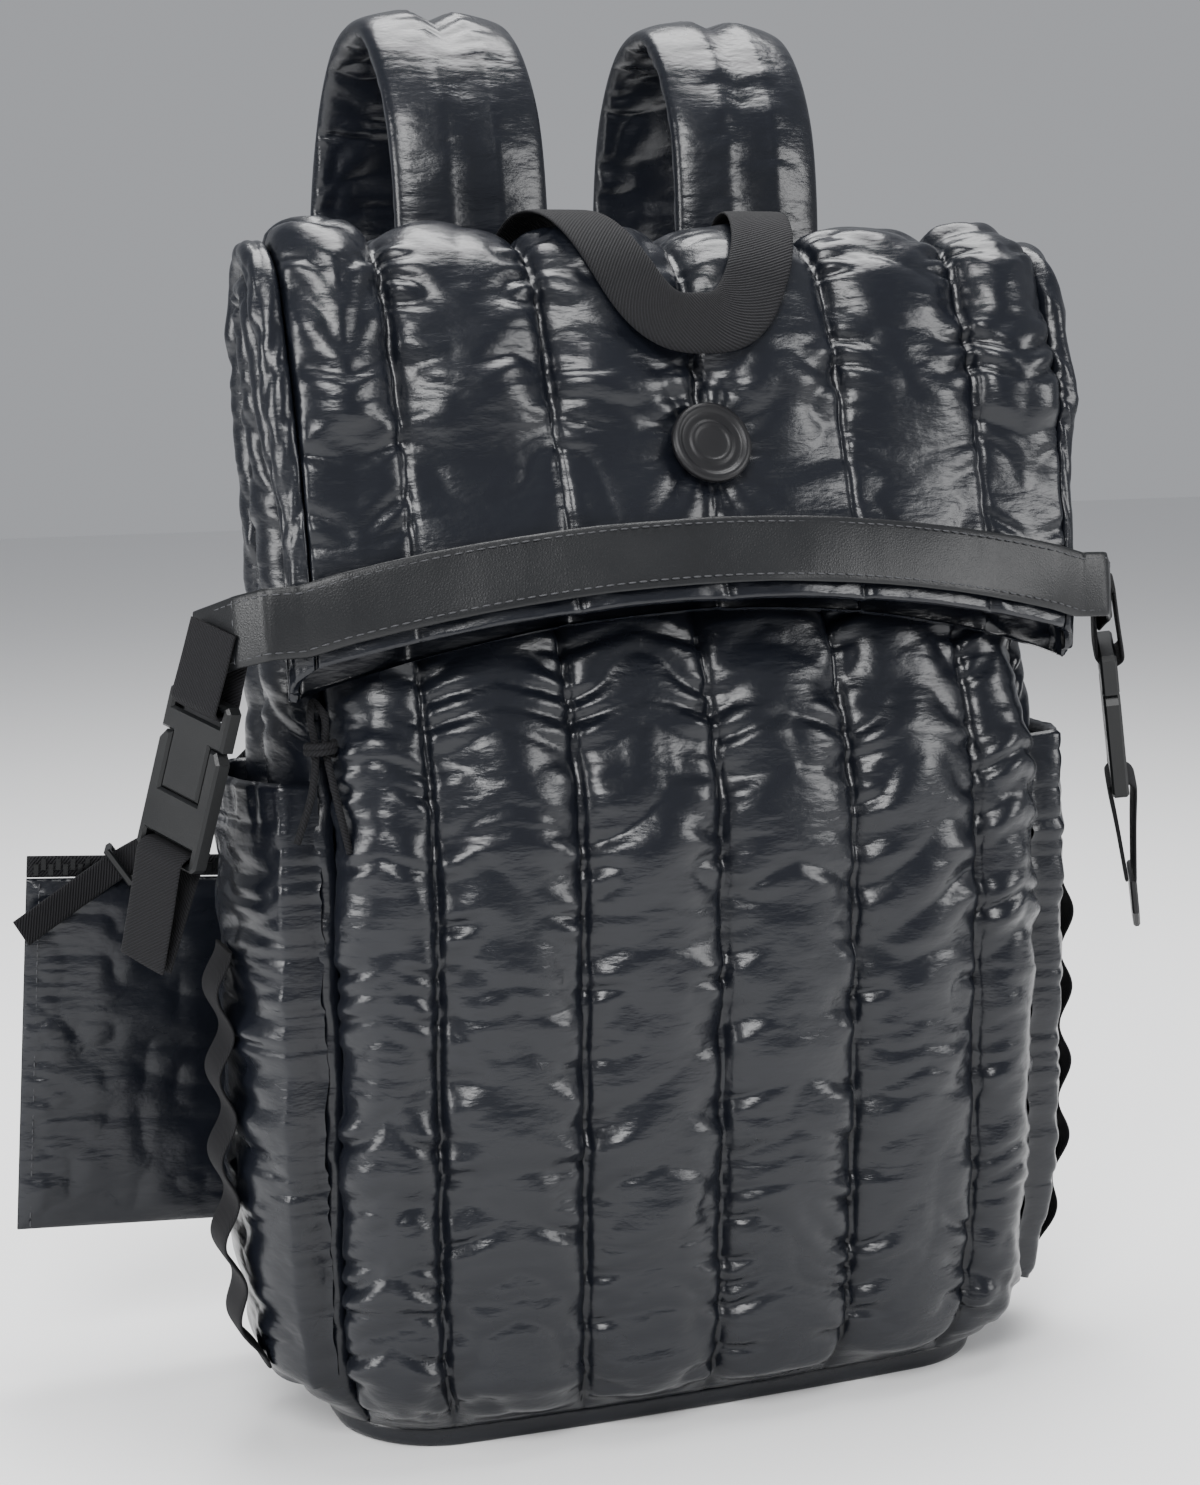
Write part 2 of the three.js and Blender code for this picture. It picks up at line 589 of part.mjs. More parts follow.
// Shoulder straps, their lower webbing, ladder locks and anchor tabs.
for (const side of ['left', 'right']) {
  const hand = side === 'left' ? -1 : 1;
  const curve = new THREE.CatmullRomCurve3(strapPath.map(({ back, rise, out }) =>
    new THREE.Vector3((hand * strapSpacing * out) / 2, strapReach * back, crestHeight + strapRise * rise)));
  const points = curve.getSpacedPoints(strapRows);
  const grid = (face) =>
    points.map((point, i) => {
      const share = i / strapRows;
      const tangent = curve.getTangentAt(share);
      const across = new THREE.Vector3(1, 0, 0).addScaledVector(tangent, -tangent.x).normalize();
      const normal = tangent.clone().cross(across).normalize();
      const place = share * (strapPath.length - 1);
      const low = Math.min(Math.floor(place), strapPath.length - 2);
      const width = strapWidth * THREE.MathUtils.lerp(strapPath[low].width, strapPath[low + 1].width, place - low);
      return strapProfile.map((column) => point.clone()
        .addScaledVector(across, width * column.across)
        .addScaledVector(normal, face * strapPadding * column.half));
    });
  addMesh('shoulder_strap_' + side, slab(grid(1), grid(-1)), materials.quilt);

  const end = points.at(-1);
  const down = curve.getTangentAt(1);
  const width = new THREE.Vector3(1, 0, 0).addScaledVector(down, -down.x).normalize();
  const lockOrigin = end.clone().addScaledVector(down, buckleWidth * 0.42 + clearance * 0.7);
  const lockShape = outline([[-0.5, -0.42], [0.5, -0.42], [0.42, 0.42], [-0.42, 0.42]]
    .map(([x, y]) => [x * buckleWidth, y * buckleWidth]));
  lockShape.holes.push(boxHole(slotHalf, -buckleWidth * 0.3, -buckleWidth * 0.3 + barSlot));
  addMesh('ladder_lock_' + side, placed(plate(lockShape, buckleThickness - 2, buckleBevel), lockOrigin, width, down.clone().negate()), materials.plastic);

  const seam = tubeOffset(side, 1, runAt(anchorHeight), seamLevel + 1.4);
  const outDirection = new THREE.Vector3(hand * 0.45, 0.89, 0);
  const tabShape = outline([[0, -0.5], [0, 0.5], [1, 0.18], [1, -0.12]]
    .map(([x, y]) => [x * tabLength, y * tabHeight]));
  addMesh('anchor_tab_' + side, placed(plate(tabShape, tabThickness, 0), seam, outDirection, new THREE.Vector3(0, 0, 1)), materials.webbing);

  const tabEnd = seam.clone().addScaledVector(outDirection, tabLength + 2 * clearance);
  const slot = lockOrigin.clone().addScaledVector(down, buckleWidth * 0.3 - barSlot / 2 + barSlot);
  const route = new THREE.CatmullRomCurve3([
    tabEnd.clone(),
    tabEnd.clone().add(new THREE.Vector3(-hand * 10, 10, 10)),
    slot.clone().lerp(tabEnd, 0.5),
    slot.clone().addScaledVector(down, 8),
  ]);
  const stations = route.getSpacedPoints(8).map((point, i) => {
    const across = new THREE.Vector3(0, 0, 1).lerp(width, (i / 8) ** 0.7).normalize();
    return { point, across };
  });
  addMesh('strap_webbing_' + side, ribbon(stations, webbingWidth * 0.9, webbingThickness), materials.webbing);
}

// Round badge on the middle seam of the flap.
const badgeOffset = seamLevel + puffHeight * rimShare(badgeRun) + 3 * clearance;
const badgeAt = tubeOffset('back', 0, badgeRun, badgeOffset);
const badgeOut = tubeOffset('back', 0, badgeRun, badgeOffset + 1).sub(badgeAt).normalize();
const badgeGeometry = new THREE.LatheGeometry(
  badgeProfile.map(({ radius, face }) => new THREE.Vector2(radius * badgeRadius, face * badgeThickness)).reverse(), 24);
badgeGeometry.applyQuaternion(new THREE.Quaternion().setFromUnitVectors(new THREE.Vector3(0, 1, 0), badgeOut));
addMesh('badge', badgeGeometry.translate(badgeAt.x, badgeAt.y, badgeAt.z), materials.rubber);

// Flat pouch with a zip along its top edge, hung on its strap.
const pouchRise = new THREE.Vector3(Math.sin(pouchTilt), 0, Math.cos(pouchTilt));
const pouchAcross = new THREE.Vector3(Math.cos(pouchTilt), 0, -Math.sin(pouchTilt));
const pouchPoint = (x, y, z) =>
  new THREE.Vector3(pouchSide, pouchBack, pouchBase + pouchHeight / 2)
    .addScaledVector(pouchAcross, x * pouchWidth).addScaledVector(pouchRise, y * pouchHeight)
    .add(new THREE.Vector3(0, z * pouchThickness, 0));
const pouchShares = [0, 0.04, 0.12, 0.3, 0.5, 0.7, 0.88, 0.96, 1];
const pouchGrid = (face) =>
  pouchShares.map((v) => pouchShares.map((u) => {
    const full = Math.min(Math.sin(Math.PI * u) * 2, 1) ** 0.5 * Math.min(Math.sin(Math.PI * v) * 2, 1) ** 0.5;
    return pouchPoint(u - 0.5, v - 0.5, face * (0.12 + 0.38 * full));
  }));
addMesh('pouch', slab(pouchGrid(-1), pouchGrid(1)), materials.quilt);
const zipUp = 0.5 + (clearance + pouchZipWidth / 2) / pouchHeight;
addMesh('pouch_zip', ribbon([-0.5, 0.5].map((x) => ({ point: pouchPoint(x, zipUp, 0), across: pouchRise })),
  pouchZipWidth, pouchZipThickness), materials.rubber);

// A round cord along a path, closed at both ends.
function cordSolid(path, diameter, sides, steps) {
  const frames = path.computeFrenetFrames(steps, false);
  const position = [];
  const index = [];
  for (let i = 0; i <= steps; i++) {
    const centre = path.getPointAt(i / steps);
    for (let k = 0; k < sides; k++) {
      const angle = (2 * Math.PI * k) / sides;
      const p = centre.clone()
        .addScaledVector(frames.normals[i], (Math.cos(angle) * diameter) / 2)
        .addScaledVector(frames.binormals[i], (Math.sin(angle) * diameter) / 2);
      position.push(p.x, p.y, p.z);
    }
  }
  const at = (i, k) => i * sides + (k % sides);
  for (let i = 0; i < steps; i++) {
    for (let k = 0; k < sides; k++) {
      index.push(at(i, k), at(i, k + 1), at(i + 1, k + 1), at(i, k), at(i + 1, k + 1), at(i + 1, k));
    }
  }
  for (let k = 1; k < sides - 1; k++) {
    index.push(at(0, 0), at(0, k + 1), at(0, k), at(steps, 0), at(steps, k), at(steps, k + 1));
  }
  const geometry = new THREE.BufferGeometry();
  geometry.setAttribute('position', new THREE.Float32BufferAttribute(position, 3));
  geometry.setIndex(index);
  if (signedVolume(geometry) < 0) geometry.setIndex(index.reverse());
  return geometry;
}

// Zip cord at the front left seam: a loop up under the band, a knot and two tails.
const cordSeam = tubeOffset('front', seamShares[0], runAt(cordHeight), 0);
const cordPath = [
  { x: -0.15, y: -0.22, z: -0.5 },
  { x: -0.06, y: -0.18, z: -0.27 },
  { x: -0.025, y: -0.13, z: -0.07 },
  { x: -0.035, y: -0.09, z: 0.07 },
  { x: 0, y: -0.016, z: 0.14 },
  { x: 0.035, y: -0.09, z: 0.07 },
  { x: 0.025, y: -0.13, z: -0.07 },
  { x: 0.05, y: -0.2, z: -0.29 },
  { x: 0.1, y: -0.24, z: -0.56 },
].map(({ x, y, z }) => cordSeam.clone().add(new THREE.Vector3(x, y, z).multiplyScalar(cordLength)));
const cordCurve = new THREE.CatmullRomCurve3(cordPath, false, 'centripetal');
addMesh('zip_cord', cordSolid(cordCurve, cordDiameter, 6, 30), materials.webbing);
const knotAt = cordPath[2].clone().lerp(cordPath[6], 0.5);
const knot = new THREE.TorusGeometry(cordDiameter * 1.85, cordDiameter * 0.5, 6, 12);
addMesh('cord_knot', knot.translate(knotAt.x, knotAt.y, knotAt.z), materials.webbing);

const ringWidth = pouchStrapWidth / 2 + 3;
const ringShare = 0.45;

// Strap of the pouch: from the back left seam through the ring of its zip puller to a cut end.
const strapStart = tubeOffset('left', 1, runAt(pouchStrapHeight), seamLevel + 4.7);
const ringAt = pouchPoint(pouchRingPlace, zipUp, -(pouchZipThickness / 2 + ringWidth * ringShare - clearance) / pouchThickness);
const strapEnd = pouchPoint(-0.52, 0.36, -1.1);
const strapCurve = new THREE.CatmullRomCurve3([
  strapStart,
  strapStart.clone().lerp(ringAt, 0.5).add(new THREE.Vector3(0, 2, -6)),
  ringAt,
  strapEnd,
]);
const strapStations = strapCurve.getSpacedPoints(14).map((point, i) => {
  const along = strapCurve.getTangentAt(i / 14);
  return { point, across: new THREE.Vector3(0, -1, 0).cross(along).normalize() };
});
addMesh('pouch_strap', ribbon(strapStations, pouchStrapWidth, webbingThickness * 0.7), materials.webbing);
let nearest = 0;
strapStations.forEach(({ point }, i) => {
  if (point.distanceTo(ringAt) < strapStations[nearest].point.distanceTo(ringAt)) nearest = i;
});
const ringStation = strapStations[nearest];
const ringFace = strapCurve.getTangentAt(nearest / 14);
const ringShape = outline([[-1, -ringShare], [1, -ringShare], [1, ringShare], [-1, ringShare]]
  .map(([x, y]) => [x * ringWidth, y * ringWidth]));
ringShape.holes.push(boxHole(pouchStrapWidth / 2 + 1, -1.5, 1.5));
addMesh('pouch_puller', placed(plate(ringShape, 3, 0.6), ringStation.point, ringStation.across,
  ringFace.clone().cross(ringStation.across).normalize()), materials.plastic);

export default bag;
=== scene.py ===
import math
import bpy
import numpy as np
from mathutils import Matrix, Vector


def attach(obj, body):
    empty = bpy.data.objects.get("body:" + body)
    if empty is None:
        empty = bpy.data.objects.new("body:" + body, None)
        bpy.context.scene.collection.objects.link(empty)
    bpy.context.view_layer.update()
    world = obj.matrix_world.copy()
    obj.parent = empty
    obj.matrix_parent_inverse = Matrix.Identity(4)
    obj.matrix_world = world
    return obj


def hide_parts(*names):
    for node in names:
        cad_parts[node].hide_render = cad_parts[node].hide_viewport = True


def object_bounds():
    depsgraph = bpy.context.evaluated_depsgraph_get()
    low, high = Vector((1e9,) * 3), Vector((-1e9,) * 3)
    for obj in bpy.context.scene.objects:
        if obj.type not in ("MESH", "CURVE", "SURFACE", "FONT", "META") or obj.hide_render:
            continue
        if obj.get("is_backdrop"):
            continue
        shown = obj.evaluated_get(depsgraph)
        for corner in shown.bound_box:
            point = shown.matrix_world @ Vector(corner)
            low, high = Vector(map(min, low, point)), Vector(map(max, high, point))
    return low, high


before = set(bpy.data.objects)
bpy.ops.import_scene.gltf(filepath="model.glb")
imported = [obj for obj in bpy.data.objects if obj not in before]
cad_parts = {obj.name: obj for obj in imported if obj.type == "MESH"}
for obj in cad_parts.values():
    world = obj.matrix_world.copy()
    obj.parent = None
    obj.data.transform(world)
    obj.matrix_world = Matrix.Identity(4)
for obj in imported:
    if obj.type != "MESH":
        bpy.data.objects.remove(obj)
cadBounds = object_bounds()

mm = 0.001

# body shape, the same numbers as the CAD, in millimetres
bag = {
    "width": 326, "depth": 128, "crest": 468, "base": 8,
    "cornerFront": 52, "cornerBack": 36, "cornerShare": 0.95, "crown": 0.2,
    "foldDepth": 30, "foldRadius": 19, "foldStart": math.radians(8), "foldEnd": math.radians(157),
    "flapWidth": 340, "flapLength": 124, "rimDrop": 30, "rimPull": 34,
}
sections = np.array([  # height, width, front, back, lean
    [0.00, 0.93, 0.40, 0.40, 0.0],
    [0.06, 0.985, 0.48, 0.45, 0.0],
    [0.18, 1.0, 0.51, 0.46, 0.0],
    [0.36, 1.0, 0.53, 0.47, 0.0],
    [0.54, 1.0, 0.53, 0.47, 0.0],
    [0.68, 0.995, 0.44, 0.44, 0.03],
    [0.80, 0.99, 0.31, 0.35, 0.1],
    [0.90, 1.005, 0.19, 0.23, 0.15],
    [1.00, 1.02, 0.117, 0.117, 0.147],
])
seams = np.array([-0.93, -0.70, -0.35, 0, 0.35, 0.70, 0.93])
crestCentre = bag["crest"] - bag["foldRadius"] - bag["foldDepth"] / 2
bodyTop = crestCentre + bag["foldRadius"] * math.sin(bag["foldStart"])


def smooth(v, low, high):
    s = np.clip((v - low) / (high - low), 0, 1)
    return s * s * (3 - 2 * s)


def readSection(column, v):
    v = np.clip(v, 0, 1)
    i = np.clip(np.searchsorted(sections[:, 0], v, side="left") - 1, 0, len(sections) - 2)
    values = sections[:, column]
    before, a = values[np.maximum(i - 1, 0)], values[i]
    b, after = values[i + 1], values[np.minimum(i + 2, len(sections) - 1)]
    t = (v - sections[i, 0]) / (sections[i + 1, 0] - sections[i, 0])
    start, end = (b - before) / 2, (after - a) / 2
    return a + t * (start + t * (3 * (b - a) - 2 * start - end + t * (2 * (a - b) + start + end)))


def tubeFrame(run, share):
    half = bag["foldDepth"] / 2
    foldShare = np.clip(run - 1, 0, 1)
    past = np.maximum(run - 2, 0)
    low = run <= 1
    turn = np.where(low, bag["foldStart"] * smooth(run, 0.8, 1),
                    bag["foldStart"] + (bag["foldEnd"] - bag["foldStart"]) * foldShare)
    centre = bag["depth"] * sections[-1, 4] - bag["foldRadius"] * math.cos(bag["foldStart"])
    along = past * (bag["flapLength"] + bag["rimDrop"] * share ** 2)
    yHigh = centre + bag["foldRadius"] * np.cos(turn) - np.sin(turn) * along
    yHigh = yHigh + bag["rimPull"] * share ** 2 * past ** 2
    zHigh = crestCentre + bag["foldRadius"] * np.sin(turn) + np.cos(turn) * along
    wide = smooth(run, 1, 1.8)
    wHigh = bag["width"] / 2 * sections[-1, 1] * (1 - wide) + bag["flapWidth"] / 2 * wide
    return {
        "y": np.where(low, bag["depth"] * readSection(4, run), yHigh),
        "z": np.where(low, bag["base"] + (bodyTop - bag["base"]) * run, zHigh),
        "turn": turn,
        "half": np.where(low, bag["width"] / 2 * readSection(1, run), wHigh),
        "front": np.where(low, bag["depth"] * readSection(2, run), half),
        "back": np.where(low, bag["depth"] * readSection(3, run), half),
    }


def crowned(x, depth, f):
    return depth - bag["crown"] * (f["front"] - bag["foldDepth"] / 2) * (x / f["half"]) ** 2


def sectionPoint(panel, t, f):
    cf = np.minimum(bag["cornerFront"], f["front"] * bag["cornerShare"])
    cb = np.minimum(bag["cornerBack"], f["back"] * bag["cornerShare"])
    if panel in ("front", "back"):
        corner, depth = (cf, f["front"]) if panel == "front" else (cb, f["back"])
        x = f["half"] * t
        past = np.maximum(np.abs(x) - (f["half"] - corner), 0)
        d = depth - corner + np.sqrt(np.maximum(corner ** 2 - past ** 2, 0))
        return (x, -crowned(x, d, f)) if panel == "front" else (x, d)
    edge = f["half"] * seams[-1]
    fromAngle = np.arcsin(np.clip(1 - (f["half"] - edge) / cf, 0, 1))
    toAngle = np.arcsin(np.clip(1 - (f["half"] - edge) / cb, 0, 1))
    l0 = cf * (math.pi / 2 - fromAngle)
    l1 = f["front"] - cf + f["back"] - cb
    l2 = cb * (math.pi / 2 - toAngle)
    r = t * (l0 + l1 + l2)
    a0 = fromAngle + np.minimum(r, l0) / cf
    x0 = f["half"] - cf + cf * np.sin(a0)
    d0 = -crowned(x0, f["front"] - cf + cf * np.cos(a0), f)
    frontEnd = -crowned(f["half"], f["front"] - cf, f)
    s1 = np.clip((r - l0) / l1, 0, 1)
    d1 = frontEnd * (1 - s1) + (f["back"] - cb) * s1
    a2 = math.pi / 2 - np.maximum(r - l0 - l1, 0) / cb
    x2 = f["half"] - cb + cb * np.sin(a2)
    d2 = f["back"] - cb + cb * np.cos(a2)
    x = np.where(r < l0, x0, np.where(r < l0 + l1, f["half"], x2))
    d = np.where(r < l0, d0, np.where(r < l0 + l1, d1, d2))
    return (-x if panel == "left" else x), d


def tubePoint(panel, t, run):
    t, run = np.broadcast_arrays(np.asarray(t, float), np.asarray(run, float))
    f = tubeFrame(run, 0 * t)
    x, _ = sectionPoint(panel, t, f)
    f = tubeFrame(run, x / f["half"])
    x, d = sectionPoint(panel, t, f)
    return np.stack([x, f["y"] + d * np.cos(f["turn"]), f["z"] + d * np.sin(f["turn"])], -1)


def tubeNormal(panel, t, run):
    step = 0.004
    across = tubePoint(panel, t + step, run) - tubePoint(panel, t - step, run)
    up = tubePoint(panel, t, np.minimum(run + step, 3)) - tubePoint(panel, t, np.maximum(run - step, 0))
    n = np.cross(across, up)
    n /= np.linalg.norm(n, axis=-1, keepdims=True) + 1e-9
    return n if panel in ("front", "right") else -n


def runAt(height):
    return (height - bag["base"]) / (bodyTop - bag["base"])


# seeded noise for the folds: sharp valleys and round bumps come from its absolute value
def clothNoise(u, v, seed):
    grid = np.random.RandomState(seed).uniform(-1, 1, (128, 128))
    iu, iv = np.floor(u).astype(int), np.floor(v).astype(int)
    fu, fv = u - iu, v - iv
    fu, fv = fu * fu * (3 - 2 * fu), fv * fv * (3 - 2 * fv)
    g = lambda a, b: grid[(iu + a) % 128, (iv + b) % 128]
    low = g(0, 0) * (1 - fu) + g(1, 0) * fu
    high = g(0, 1) * (1 - fu) + g(1, 1) * fu
    return low * (1 - fv) + high * fv


# mesh helpers
def meshFrom(name, points, faces, uv=None, smoothShade=True):
    mesh = bpy.data.meshes.new(name)
    mesh.from_pydata((np.asarray(points) * mm).tolist(), [], faces)
    if uv is not None:
        layer = mesh.uv_layers.new(name="cloth")
        loops = np.empty(len(mesh.loops), int)
        mesh.loops.foreach_get("vertex_index", loops)
        layer.data.foreach_set("uv", (np.asarray(uv)[loops] * mm).astype(np.float32).ravel())
    if smoothShade:
        mesh.polygons.foreach_set("use_smooth", [True] * len(mesh.polygons))
    mesh.update()
    obj = bpy.data.objects.new(name, mesh)
    bpy.context.collection.objects.link(obj)
    return obj


def gridFaces(rows, cols, wrap=False):
    r = np.arange(rows - 1)[:, None]
    c = np.arange(cols if wrap else cols - 1)[None, :]
    d = (c + 1) % cols
    a, b = r * cols + c, r * cols + d
    return np.stack([a, b, b + cols, a + cols], -1).reshape(-1, 4).tolist()


def gridMesh(name, points, uv=None):
    rows, cols = points.shape[:2]
    faces = gridFaces(rows, cols)
    return meshFrom(name, points.reshape(-1, 3), faces, None if uv is None else uv.reshape(-1, 2))


def lengthsAlong(points):
    steps = np.linalg.norm(np.diff(points, axis=0), axis=1)
    return np.concatenate([[0], np.cumsum(steps)])


def resample(points, count, *others):
    s = lengthsAlong(points)
    where = np.linspace(0, s[-1], count)
    out = [np.stack([np.interp(where, s, p[:, k]) for k in range(3)], 1) for p in (points,) + others]
    return out if others else out[0]


def spline(points, count):
    p = np.asarray(points, float)
    p = np.vstack([2 * p[0] - p[1], p, 2 * p[-1] - p[-2]])
    out = []
    for i in range(1, len(p) - 2):
        for t in np.linspace(0, 1, 24, endpoint=False):
            a, b, c, d = p[i - 1:i + 3]
            bend = (2 * a - 5 * b + 4 * c - d) * t * t
            out.append(0.5 * (2 * b + (c - a) * t + bend + (3 * b - a - 3 * c + d) * t ** 3))
    out.append(p[-2])
    return resample(np.array(out), count)


def stripMesh(name, centre, across, width, thickness, sides=20, power=0.35, ripple=None):
    tangent = np.gradient(centre, axis=0)
    tangent /= np.linalg.norm(tangent, axis=1, keepdims=True)
    across = across - tangent * np.sum(across * tangent, 1, keepdims=True)
    across /= np.linalg.norm(across, axis=1, keepdims=True)
    face = np.cross(tangent, across)
    angle = np.linspace(0, 2 * math.pi, sides, endpoint=False)
    cx = np.sign(np.cos(angle)) * np.abs(np.cos(angle)) ** power * 0.5
    cz = np.sign(np.sin(angle)) * np.abs(np.sin(angle)) ** 0.8 * 0.5
    w = np.broadcast_to(width, len(centre))[:, None]
    pts = centre[:, None] + across[:, None] * (cx * w)[..., None] + face[:, None] * (cz * thickness)[None, :, None]
    if ripple is not None:
        pts = pts + face[:, None] * ripple(cx[None, :] * w, lengthsAlong(centre)[:, None], cz)[..., None]
    rows = len(centre)
    faces = gridFaces(rows, sides, wrap=True)
    faces += [list(range(sides))[::-1], [(rows - 1) * sides + k for k in range(sides)]]
    s = lengthsAlong(centre)
    uv = np.stack(np.broadcast_arrays(cx[None, :] * w + (cz[None, :] > 0) * 100, s[:, None]), -1)
    return meshFrom(name, pts.reshape(-1, 3), faces, uv.reshape(-1, 2))


def stitchRow(name, line, normal, pitch, size):
    count = max(int(lengthsAlong(line)[-1] / pitch), 2)
    at, n = resample(line, count, normal)
    t = np.gradient(at, axis=0)
    t /= np.linalg.norm(t, axis=1, keepdims=True)
    side = np.cross(n, t)
    points, faces = [], []
    ring = [(0, 1), (0.87, -0.5), (-0.87, -0.5)]
    for i in range(count):
        base = len(points)
        for along, fat in ((-0.5, 0.5), (-0.25, 1), (0.25, 1), (0.5, 0.5)):
            for a, b in ring:
                point = at[i] + t[i] * along * pitch * 0.72
                points.append(point + side[i] * a * size * fat + n[i] * b * size * fat * 0.8)
        for r in range(3):
            for k in range(3):
                a, b = base + r * 3 + k, base + r * 3 + (k + 1) % 3
                faces.append([a, b, b + 3, a + 3])
        faces += [[base + 2, base + 1, base], [base + 9, base + 10, base + 11]]
    return meshFrom(name, points, faces)


# materials
def newMaterial(name, base, roughness):
    mat = bpy.data.materials.new(name)
    mat.use_nodes = True
    shader = mat.node_tree.nodes["Principled BSDF"]
    shader.inputs["Base Color"].default_value = (*base, 1)
    shader.inputs["Roughness"].default_value = roughness
    return mat, mat.node_tree, shader


def addBump(tree, shader, layers):
    last = None
    for source, strength, distance in layers:
        bump = tree.nodes.new("ShaderNodeBump")
        bump.inputs["Strength"].default_value = strength
        bump.inputs["Distance"].default_value = distance
        tree.links.new(source, bump.inputs["Height"])
        if last:
            tree.links.new(last, bump.inputs["Normal"])
        last = bump.outputs["Normal"]
    tree.links.new(last, shader.inputs["Normal"])


def scaledCoords(tree, scale, uv=False, turn=0.0):
    coords = tree.nodes.new("ShaderNodeUVMap" if uv else "ShaderNodeTexCoord")
    mapping = tree.nodes.new("ShaderNodeMapping")
    mapping.inputs["Scale"].default_value = scale
    mapping.inputs["Rotation"].default_value = (0, 0, turn)
    tree.links.new(coords.outputs["UV" if uv else "Object"], mapping.inputs["Vector"])
    return mapping.outputs["Vector"]


def noiseOut(tree, vector, scale, detail=4):
    tex = tree.nodes.new("ShaderNodeTexNoise")
    tex.inputs["Scale"].default_value = scale
    tex.inputs["Detail"].default_value = detail
    tree.links.new(vector, tex.inputs["Vector"])
    return tex.outputs["Fac"]


def waveOut(tree, vector, scale, direction="X", distortion=0.0):
    tex = tree.nodes.new("ShaderNodeTexWave")
    tex.bands_direction = direction
    tex.inputs["Scale"].default_value = scale
    tex.inputs["Distortion"].default_value = distortion
    tree.links.new(vector, tex.inputs["Vector"])
    return tex.outputs["Fac"]


def roughRange(tree, shader, source, low, high):
    ramp = tree.nodes.new("ShaderNodeMapRange")
    ramp.inputs["To Min"].default_value = low
    ramp.inputs["To Max"].default_value = high
    tree.links.new(source, ramp.inputs["Value"])
    tree.links.new(ramp.outputs["Result"], shader.inputs["Roughness"])


nylonLook = {"colour": (0.005, 0.006, 0.009), "crinkle": 0.34, "weave": 0.08, "shine": (0.2, 0.33), "mirror": 0.36}


def glossNylon():
    mat, tree, shader = newMaterial("gloss nylon", nylonLook["colour"], 0.3)
    shader.inputs["Specular IOR Level"].default_value = nylonLook["mirror"]
    flat = scaledCoords(tree, (1, 1, 3.2))  # crinkles run across the bag
    crinkle = noiseOut(tree, flat, 70, 6)
    small = noiseOut(tree, scaledCoords(tree, (1, 1, 1.8)), 260, 3)
    weaveU = waveOut(tree, scaledCoords(tree, (1, 1, 1)), 900, "Z")
    wear = noiseOut(tree, scaledCoords(tree, (1, 1, 1)), 18, 5)
    roughRange(tree, shader, wear, *nylonLook["shine"])
    addBump(tree, shader, [(crinkle, nylonLook["crinkle"], 0.0016), (small, 0.3, 0.0005),
                           (weaveU, nylonLook["weave"], 0.0001)])
    return mat


webbingLook = {"colour": (0.004, 0.004, 0.005), "pitch": 0.0011}


def twillWebbing(name="twill webbing", colour=None):
    mat, tree, shader = newMaterial(name, colour or webbingLook["colour"], 0.78)
    shader.inputs["Specular IOR Level"].default_value = 0.2
    vector = scaledCoords(tree, (1, 1, 1), uv=True, turn=math.radians(52))
    twill = waveOut(tree, vector, 0.31 / webbingLook["pitch"], "X", 0.6)
    ribs = waveOut(tree, scaledCoords(tree, (1, 1, 1), uv=True), 0.31 / 0.0008, "Y")
    fuzz = noiseOut(tree, scaledCoords(tree, (1, 1, 1), uv=True), 900, 2)
    mix = tree.nodes.new("ShaderNodeMix")
    mix.data_type = "RGBA"
    base = colour or webbingLook["colour"]
    mix.inputs["A"].default_value = (*[c * 0.55 for c in base], 1)
    mix.inputs["B"].default_value = (*[c * 1.7 for c in base], 1)
    tree.links.new(twill, mix.inputs["Factor"])
    tree.links.new(mix.outputs["Result"], shader.inputs["Base Color"])
    addBump(tree, shader, [(twill, 0.7, 0.0004), (ribs, 0.3, 0.0002), (fuzz, 0.25, 0.0002)])
    return mat


def satinLeather():
    mat, tree, shader = newMaterial("satin leather", (0.005, 0.0055, 0.0065), 0.4)
    shader.inputs["Specular IOR Level"].default_value = 0.32
    cells = tree.nodes.new("ShaderNodeTexVoronoi")
    cells.feature = "DISTANCE_TO_EDGE"
    cells.inputs["Scale"].default_value = 900
    tree.links.new(scaledCoords(tree, (1, 1, 1)), cells.inputs["Vector"])
    waves = noiseOut(tree, scaledCoords(tree, (1, 1, 1)), 60, 4)
    roughRange(tree, shader, noiseOut(tree, scaledCoords(tree, (1, 1, 1)), 30, 3), 0.32, 0.48)
    addBump(tree, shader, [(cells.outputs["Distance"], 0.35, 0.0003), (waves, 0.25, 0.0008)])
    return mat


def mouldedPlastic(name="moulded plastic", colour=(0.004, 0.0045, 0.005), roughness=0.38):
    mat, tree, shader = newMaterial(name, colour, roughness)
    shader.inputs["Specular IOR Level"].default_value = 0.3
    grain = noiseOut(tree, scaledCoords(tree, (1, 1, 1)), 1800, 2)
    scuffs = noiseOut(tree, scaledCoords(tree, (1, 1, 1)), 50, 6)
    roughRange(tree, shader, scuffs, roughness - 0.08, roughness + 0.1)
    addBump(tree, shader, [(grain, 0.25, 0.0002)])
    return mat


def threadMaterial():
    mat, tree, shader = newMaterial("waxed thread", (0.03, 0.031, 0.035), 0.55)
    addBump(tree, shader, [(noiseOut(tree, scaledCoords(tree, (1, 1, 1)), 2500, 2), 0.4, 0.0001)])
    return mat


nylon, webbing, leather = glossNylon(), twillWebbing(), satinLeather()
plastic, thread = mouldedPlastic(), threadMaterial()
rubber = mouldedPlastic("moulded rubber", (0.004, 0.004, 0.005), 0.42)
print("materials made")


def finishPiece(obj, mat, slot, *nodes):
    obj.data.materials.append(mat)
    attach(obj, "root")
    if nodes:
        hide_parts(*nodes)
    return obj


